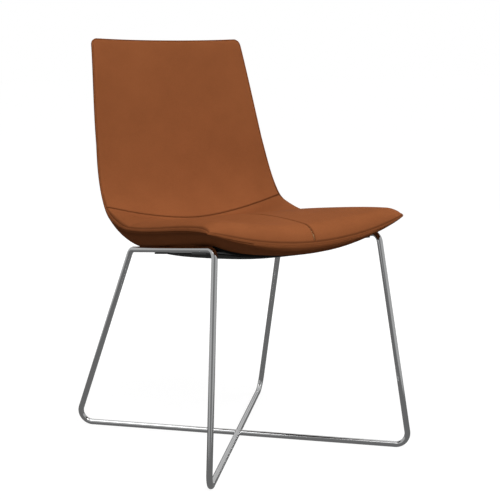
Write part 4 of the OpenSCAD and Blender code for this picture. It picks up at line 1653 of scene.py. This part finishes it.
def turned_mesh(name: str, profile: Sequence[tuple[float, float]], around: int = 40,
                socket: tuple[float, float] | None = None) -> bpy.types.Object:
    """Makes a turned part from its half section, with an optional hexagon socket in its underside.

    Args:
        name: The object's name.
        profile: Radius and height, from the lower middle to the upper middle.
        around: Points round it.
        socket: Reach of its corners and its depth.

    Returns:
        The new object.
    """
    socket_tip, socket_lead, socket_flare = 0.0004, 0.0002, 1.08
    bottom, top = profile[0][1], profile[-1][1]
    turns = [2 * math.pi * k / around for k in range(around)]
    round_one = [1.0] * around
    loops = [(r, z, round_one) for r, z in profile[1:-1]]
    tip_z = bottom
    if socket:
        corner, deep = socket
        hexagon = [hexagon_reach(a) for a in turns]
        loops[:0] = [(corner, bottom + deep, hexagon), (corner, bottom + socket_lead, hexagon),
                     (corner * socket_flare, bottom, hexagon)]
        tip_z = bottom + deep + socket_tip
    bm = bmesh.new()
    tip = bm.verts.new((0, 0, tip_z))
    rings = []
    for radius, z, reach in loops:
        rings.append([bm.verts.new((radius * grow * math.cos(a), radius * grow * math.sin(a), z))
                      for a, grow in zip(turns, reach)])
    end = bm.verts.new((0, 0, top))
    for k in range(around):
        n = (k + 1) % around
        bm.faces.new((tip, rings[0][n], rings[0][k]))
        bm.faces.new((rings[-1][k], rings[-1][n], end))
        for low, high in zip(rings, rings[1:]):
            bm.faces.new((low[k], low[n], high[n], high[k]))
    bmesh.ops.recalc_face_normals(bm, faces=bm.faces)
    mesh = bpy.data.meshes.new(name)
    bm.to_mesh(mesh)
    bm.free()
    thing = bpy.data.objects.new(name, mesh)
    bpy.context.scene.collection.objects.link(thing)
    smooth_by_angle(thing, degrees=32)
    return thing


# The pan and the fasteners


@dataclass(frozen=True)
class PanAndScrews:
    """The moulded pan under the seat, and the screws that hold it and the shell."""

    form: ShellForm
    base: RodBase
    finishes: Finishes
    # The pan: its share of the width, the shape of its dish and the place of its ends.
    share: float = 0.78
    depth: float = 0.021
    taper: float = 0.12
    across: float = 3.5
    along: float = 2.0
    edge: float = 0.0025
    wall: float = 0.0022
    least_off: float = 0.0003
    steps: int = 84
    front_in: float = 0.070
    rear_s: float = 3.0
    # What is cut from it: slots for the straps, wells for its screws and access holes.
    slot_gap: float = 0.0008
    slot_reach: float = 1.02
    screw_x: float = 0.028
    head_r: float = 0.004
    seat: float = 0.0022
    access_r: float = 0.0075
    hole_gap: float = 0.00035
    shell_screw_x: float = 0.055
    washer_t: float = 0.001
    well_reach: float = 0.032
    # Half sections of the screws, measured from where their heads bear, and reach and depth of the sockets.
    button_section: tuple[tuple[float, float], ...] = (
        (0, -0.0028), (0.0034, -0.0028), (0.0043, -0.0022), (0.0050, -0.0012), (0.00528, -0.0004),
        (0.00528, 0), (0.003, 0), (0.003, 0.0152), (0.0024, 0.016), (0, 0.016))
    button_socket: tuple[float, float] = (0.0021, 0.002)
    cap_section: tuple[tuple[float, float], ...] = (
        (0, -0.0024), (0.0034, -0.0024), (0.0039, -0.0019), (0.004, 0), (0.002, 0), (0.002, 0.0044),
        (0.0015, 0.0048), (0, 0.0048))
    cap_socket: tuple[float, float] = (0.0018, 0.0012)

    def sheet(self, inner: bool) -> np.ndarray:
        """Gives one skin of the pan as a grid, from rear to front and from left to right.

        Args:
            inner: Whether it is the skin towards the seat.

        Returns:
            The grid of points.
        """
        even = np.sin(np.linspace(-math.pi / 2, math.pi / 2, self.steps + 1))
        a, b = even[None, :], even[:, None]
        front = self.form.last - self.front_in / (self.form.edge_y[3] + self.form.front_y)
        s = (front + (self.rear_s - front) * (1 - b) / 2) + 0 * a
        x = a * self.share * self.form.at(self.form.half_width, s)
        bowl = np.sqrt(np.maximum(1 - np.abs(a) ** self.across, 0)
                       * np.maximum(1 - np.abs(b) ** self.along, 0))
        off = self.edge + (self.depth * (1 - self.taper * (1 + b) / 2) - self.edge) * bowl
        if inner:
            off = np.maximum(off - self.wall, self.least_off)
        n = self.form.normal(s)
        p = self.form.outer(s, x)
        p[..., 1] -= n[..., 0] * off
        p[..., 2] -= n[..., 1] * off
        return p

    def slot_cutter(self, y: float) -> bpy.types.Object:
        """Makes the cutter of a strap's slot, a little larger than the strap.

        Args:
            y: The strap's own y.

        Returns:
            The cutter.
        """
        line = self.base.strap_line(y) * [self.slot_reach, 1]
        rows = np.array([-0.5, 0.5]) * (self.base.strap_w + 2 * self.slot_gap)
        top = np.array([[(x, r, z + self.slot_gap) for x, z in line] for r in rows])
        low = top - np.array([0, 0, self.base.strap_t + 2 * self.slot_gap])
        cutter = solid_between("slot_cutter", top, low, self.finishes.pan)
        cutter.data.transform(self.base.on_runs(y))
        return cutter

    def well_cutters(self, y: float) -> list[bpy.types.Object]:
        """Makes the cutters of the four wells and access holes under a strap.

        Args:
            y: The strap's own y.

        Returns:
            The cutters.
        """
        under = self.base.strap_top(0, y) - self.base.strap_t
        cutters = []
        for out, radius, top_z in ((self.screw_x, self.head_r + self.hole_gap, -self.seat),
                                   (self.shell_screw_x, self.access_r, 0.0)):
            for x in (-out, out):
                well = turned_mesh("well_cutter", [(0, -self.well_reach), (radius, -self.well_reach),
                                                   (radius, top_z), (0, top_z)])
                well.data.transform(self.base.on_runs(y) @ Matrix.Translation((x, 0, under)))
                cutters.append(well)
        return cutters

    def pan(self) -> None:
        """Makes the pan, with its slots for the straps and wells for its screws."""
        piece = solid_between("moulded_under_pan", self.sheet(True), self.sheet(False), self.finishes.pan)
        cutters = []
        for y in self.base.strap_y:
            cutters += [self.slot_cutter(y), *self.well_cutters(y)]
        for cutter in cutters:
            cut = piece.modifiers.new("cut", "BOOLEAN")
            cut.operation, cut.solver, cut.object = "DIFFERENCE", "EXACT", cutter
        graph = bpy.context.evaluated_depsgraph_get()
        graph.update()
        made = bpy.data.meshes.new_from_object(piece.evaluated_get(graph), depsgraph=graph)
        piece.modifiers.clear()
        piece.data = made
        for cutter in cutters:
            bpy.data.objects.remove(cutter)
        smooth_by_angle(piece, degrees=40)
        add_to_chair(piece, Slot.PAN, "under_pan")

    def spots(self, x: float, drop: float) -> tuple[list[Vector], np.ndarray]:
        """Gives four places on the straps and the turn of what sits there.

        Args:
            x: Distance from the middle.
            drop: Distance below the strap's top.

        Returns:
            The places and their turns.
        """
        places = []
        for y in self.base.strap_y:
            for side in (-1, 1):
                places.append(self.base.on_runs(y) @ Vector((side * x, 0, self.base.strap_top(0, y) - drop)))
        return places, np.array([(-self.base.slope, 0.0, 0.0)] * len(places))

    def repeat(self, name: str, part: bpy.types.Object, x: float, drop: float, node: str) -> None:
        """Args:
            name: The piece's name.
            part: The screw to repeat, removed afterwards.
            x: Distance from the middle.
            drop: Distance below the straps' top.
            node: The node that it stands for.
        """
        places, turns = self.spots(x, drop)
        values = {Inputs.PART: part, Inputs.FINISH: self.finishes.screw}
        piece = run_tree(name, repeat_tree(), places, False, values, ("turn", "FLOAT_VECTOR", turns))
        bpy.data.objects.remove(part)
        add_to_chair(piece, Slot.SCREW, node)

    def build(self) -> None:
        """Builds the pan and every screw."""
        self.pan()
        under = self.base.strap_t
        button = turned_mesh("button_screw", self.button_section, socket=self.button_socket)
        self.repeat("button_shell_screws", button, self.shell_screw_x, under + self.washer_t, "shell_screws")
        sunk = [(radius, z - self.seat) for radius, z in self.cap_section]
        cap = turned_mesh("pan_screw", sunk, socket=self.cap_socket)
        self.repeat("pan_cap_screws", cap, self.screw_x, under, "pan_screws")


# The studio


@dataclass(frozen=True)
class Card:
    """A plain reflector card that only glossy rays see, a sector of a ring round the chair.

    Its heading and spread are degrees, and headings count from the camera's side to the right.
    """

    name: str
    heading: float
    spread: float
    low: float
    high: float
    grey: float


@dataclass(frozen=True)
class Softbox:
    """A square lamp that faces the chair."""

    name: str
    place: tuple[float, float, float]
    power: float
    width: float = 1.8


@dataclass(frozen=True)
class Studio:
    """Camera, floor, lights, reflector cards and world."""

    shift: float
    # The camera, as fitted to the photograph: degrees, pixels, metres, and millimetres for the sensor.
    image_size: float = 500.0
    focal_pixels: float = 1255.15
    azimuth: float = -34.05
    elevation: float = 8.85
    camera_place: tuple[float, float, float] = (-1.4173, -2.1433, 0.7972)
    sensor: float = 36.0
    # The white floor, which dims a little under the chair, and the soft light of the world.
    floor_half: float = 30.0
    floor_grey: float = 0.16
    floor_glow: float = 0.90
    shadow_r: float = 0.4
    white_r: float = 1.1
    sky: float = 0.01
    # The cards and the cloth that the chrome reflects, and the lamps.
    ring_r: float = 1.5
    cloth_r: float = 2.6
    cloth_lift: float = 0.0004
    cloth_grey: float = 0.19
    cloth_steps: int = 64
    card_steps: int = 12
    cards: tuple[Card, ...] = (
        Card("dark_card_camera", heading=0, spread=44, low=0, high=1.8, grey=0.22),
        Card("grey_card_right", heading=70, spread=96, low=0, high=1.8, grey=0.52),
        Card("grey_card_left", heading=-70, spread=96, low=0, high=1.8, grey=0.52),
        Card("dark_card_rear", heading=180, spread=124, low=0, high=0.19, grey=0.16),
        Card("pale_card_rear", heading=180, spread=124, low=0.19, high=1.8, grey=0.62),
    )
    softboxes: tuple[Softbox, ...] = (
        Softbox("front_softbox", (-0.3, -2.2, 2.5), power=82.0),
        Softbox("side_softbox", (2.9, 0.0, 1.9), power=46.0),
        Softbox("low_softbox", (-2.6, -0.6, 0.8), power=10.0),
        Softbox("left_softbox", (-1.8, 0.0, 2.8), power=26.0),
        Softbox("rear_softbox", (0.5, 2.7, 1.2), power=30.0),
    )
    aim: tuple[float, float, float] = (0.0, 0.0, 0.45)

    def camera(self) -> None:
        """Sets the camera at the photograph's place and angle."""
        data = bpy.data.cameras.new("photo_camera")
        data.sensor_width = self.sensor
        data.lens = self.focal_pixels / self.image_size * self.sensor
        camera = bpy.data.objects.new("photo_camera", data)
        x, y, z = self.camera_place
        camera.location = (x, y + self.shift, z)
        az, el = math.radians(self.azimuth), math.radians(self.elevation)
        forward = Vector((-math.sin(az) * math.cos(el), math.cos(az) * math.cos(el), -math.sin(el)))
        camera.rotation_mode = "QUATERNION"
        camera.rotation_quaternion = forward.to_track_quat("-Z", "Y")
        bpy.context.scene.collection.objects.link(camera)
        bpy.context.scene.camera = camera

    def stage_piece(self, name: str, points: Sequence[Sequence[float]], faces: Sequence[Sequence[int]],
                    material: bpy.types.Material) -> bpy.types.Object:
        """Makes a piece of the studio.

        Args:
            name: Its name.
            points: Its points.
            faces: Its faces.
            material: Its material.

        Returns:
            The new object.
        """
        mesh = bpy.data.meshes.new(name)
        mesh.from_pydata([tuple(p) for p in points], [], [tuple(f) for f in faces])
        mesh.materials.append(material)
        piece = bpy.data.objects.new(name, mesh)
        bpy.context.scene.collection.objects.link(piece)
        return piece

    def floor(self) -> None:
        """Lays the pale floor, which shows as white and keeps the chair's shadow."""
        mat, g = new_material("studio_floor")
        seen = seen_directly(g)
        diffuse = g.add("ShaderNodeBsdfDiffuse", {"Color": (*[self.floor_grey] * 3, 1)})
        place = g.add("ShaderNodeTexCoord").outputs["Object"]
        far = g.add("ShaderNodeVectorMath", {0: place}, operation="LENGTH").outputs["Value"]
        span = {0: far, 1: self.shadow_r, 2: self.white_r, 3: self.floor_glow, 4: 1.0}
        level = g.add("ShaderNodeMapRange", span, interpolation_type="SMOOTHSTEP").outputs[0]
        strength = g.math("MULTIPLY", seen, level)
        glow = g.add("ShaderNodeEmission", {"Color": (1, 1, 1, 1), "Strength": strength})
        both = g.add("ShaderNodeAddShader", {0: diffuse.outputs[0], 1: glow.outputs[0]})
        g.add("ShaderNodeOutputMaterial", {0: both.outputs[0]})
        h = self.floor_half
        corners = [(-h, -h, 0), (h, -h, 0), (h, h, 0), (-h, h, 0)]
        self.stage_piece("studio_floor", corners, [(0, 1, 2, 3)], mat)

    def world(self) -> None:
        """Sets a white background over a plain soft light."""
        world = bpy.data.worlds.new("studio_world")
        world.use_nodes = True
        g = Graph(world.node_tree)
        strength = g.math("ADD", g.math("MULTIPLY", seen_directly(g), 1 - self.sky), self.sky)
        back = g.add("ShaderNodeBackground", {"Color": (1, 1, 1, 1), "Strength": strength})
        g.add("ShaderNodeOutputWorld", {0: back.outputs[0]})
        bpy.context.scene.world = world

    def card(self, card: Card) -> None:
        """Stands one reflector card.

        Args:
            card: Its sector, heights and grey.
        """
        steps = self.card_steps
        start = math.radians(-90 + self.azimuth + card.heading - card.spread / 2)
        turns = [start + math.radians(card.spread) * i / steps for i in range(steps + 1)]
        points = [(self.ring_r * math.cos(a), self.ring_r * math.sin(a), z)
                  for z in (card.low, card.high) for a in turns]
        faces = [(i, i + 1, i + steps + 2, i + steps + 1) for i in range(steps)]
        self.glossy_only(self.stage_piece(card.name, points, faces, self.card_paint(card.name, card.grey)))

    def card_paint(self, name: str, grey: float) -> bpy.types.Material:
        """Makes the paint of a card.

        Args:
            name: The material's name.
            grey: Its level, where 1 is white.

        Returns:
            The material.
        """
        mat, g = new_material(name)
        glow = g.add("ShaderNodeEmission", {"Color": (1, 1, 1, 1), "Strength": grey})
        g.add("ShaderNodeOutputMaterial", {0: glow.outputs[0]})
        return mat

    @staticmethod
    def glossy_only(piece: bpy.types.Object) -> None:
        """Keeps a card out of everything but reflections."""
        piece.visible_camera = piece.visible_diffuse = piece.visible_shadow = False
        piece.visible_transmission = piece.visible_volume_scatter = False

    def cloth(self) -> None:
        """Lays a grey cloth that only reflections see."""
        turns = [2 * math.pi * k / self.cloth_steps for k in range(self.cloth_steps)]
        points = [(self.cloth_r * math.cos(a), self.cloth_r * math.sin(a), self.cloth_lift) for a in turns]
        self.glossy_only(self.stage_piece("floor_cloth", points, [tuple(range(self.cloth_steps))],
                                          self.card_paint("floor_cloth", self.cloth_grey)))

    def lamp(self, box: Softbox) -> None:
        """Hangs one softbox, turned to the chair.

        Args:
            box: Its name, place, power and width.
        """
        data = bpy.data.lights.new(box.name, "AREA")
        data.shape, data.size, data.size_y, data.energy = "RECTANGLE", box.width, box.width, box.power
        lamp = bpy.data.objects.new(box.name, data)
        lamp.location = box.place
        aim = Vector(self.aim) - Vector(box.place)
        lamp.rotation_mode = "QUATERNION"
        lamp.rotation_quaternion = aim.to_track_quat("-Z", "Y")
        bpy.context.scene.collection.objects.link(lamp)

    def build(self) -> None:
        """Builds the studio."""
        self.camera()
        self.floor()
        self.world()
        for card in self.cards:
            self.card(card)
        self.cloth()
        for box in self.softboxes:
            self.lamp(box)
        bpy.context.scene.view_settings.view_transform = "Standard"


def dress_kept_nodes(finishes: Finishes) -> None:
    """Gives the nodes that stay as they are their finishes.

    Args:
        finishes: The chair's materials.
    """
    kept = {"inner_shell": finishes.moulding, "threaded_inserts": finishes.brass,
            "shell_washers": finishes.screw}
    for node, material in kept.items():
        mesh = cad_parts[node].data
        mesh.materials.clear()
        mesh.materials.append(material)
        LOG.info("%s keeps its shape in %s", node, material.name)


def main() -> None:
    """Builds the chair's pieces and the studio in order."""
    logging.basicConfig(level=logging.INFO, format="%(name)s: %(message)s")
    finishes = Finishes()
    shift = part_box("outer_cover")[0].y + ShellForm.front_y
    form = ShellForm(shift)
    LOG.info("the shell's own zero lies at y = %.4f", shift)
    Studio(shift).build()
    base = RodBase(form, finishes)
    base.build()
    Upholstery(form, finishes).build()
    PanAndScrews(form, base, finishes).build()
    dress_kept_nodes(finishes)


if __name__ == "__main__":
    main()
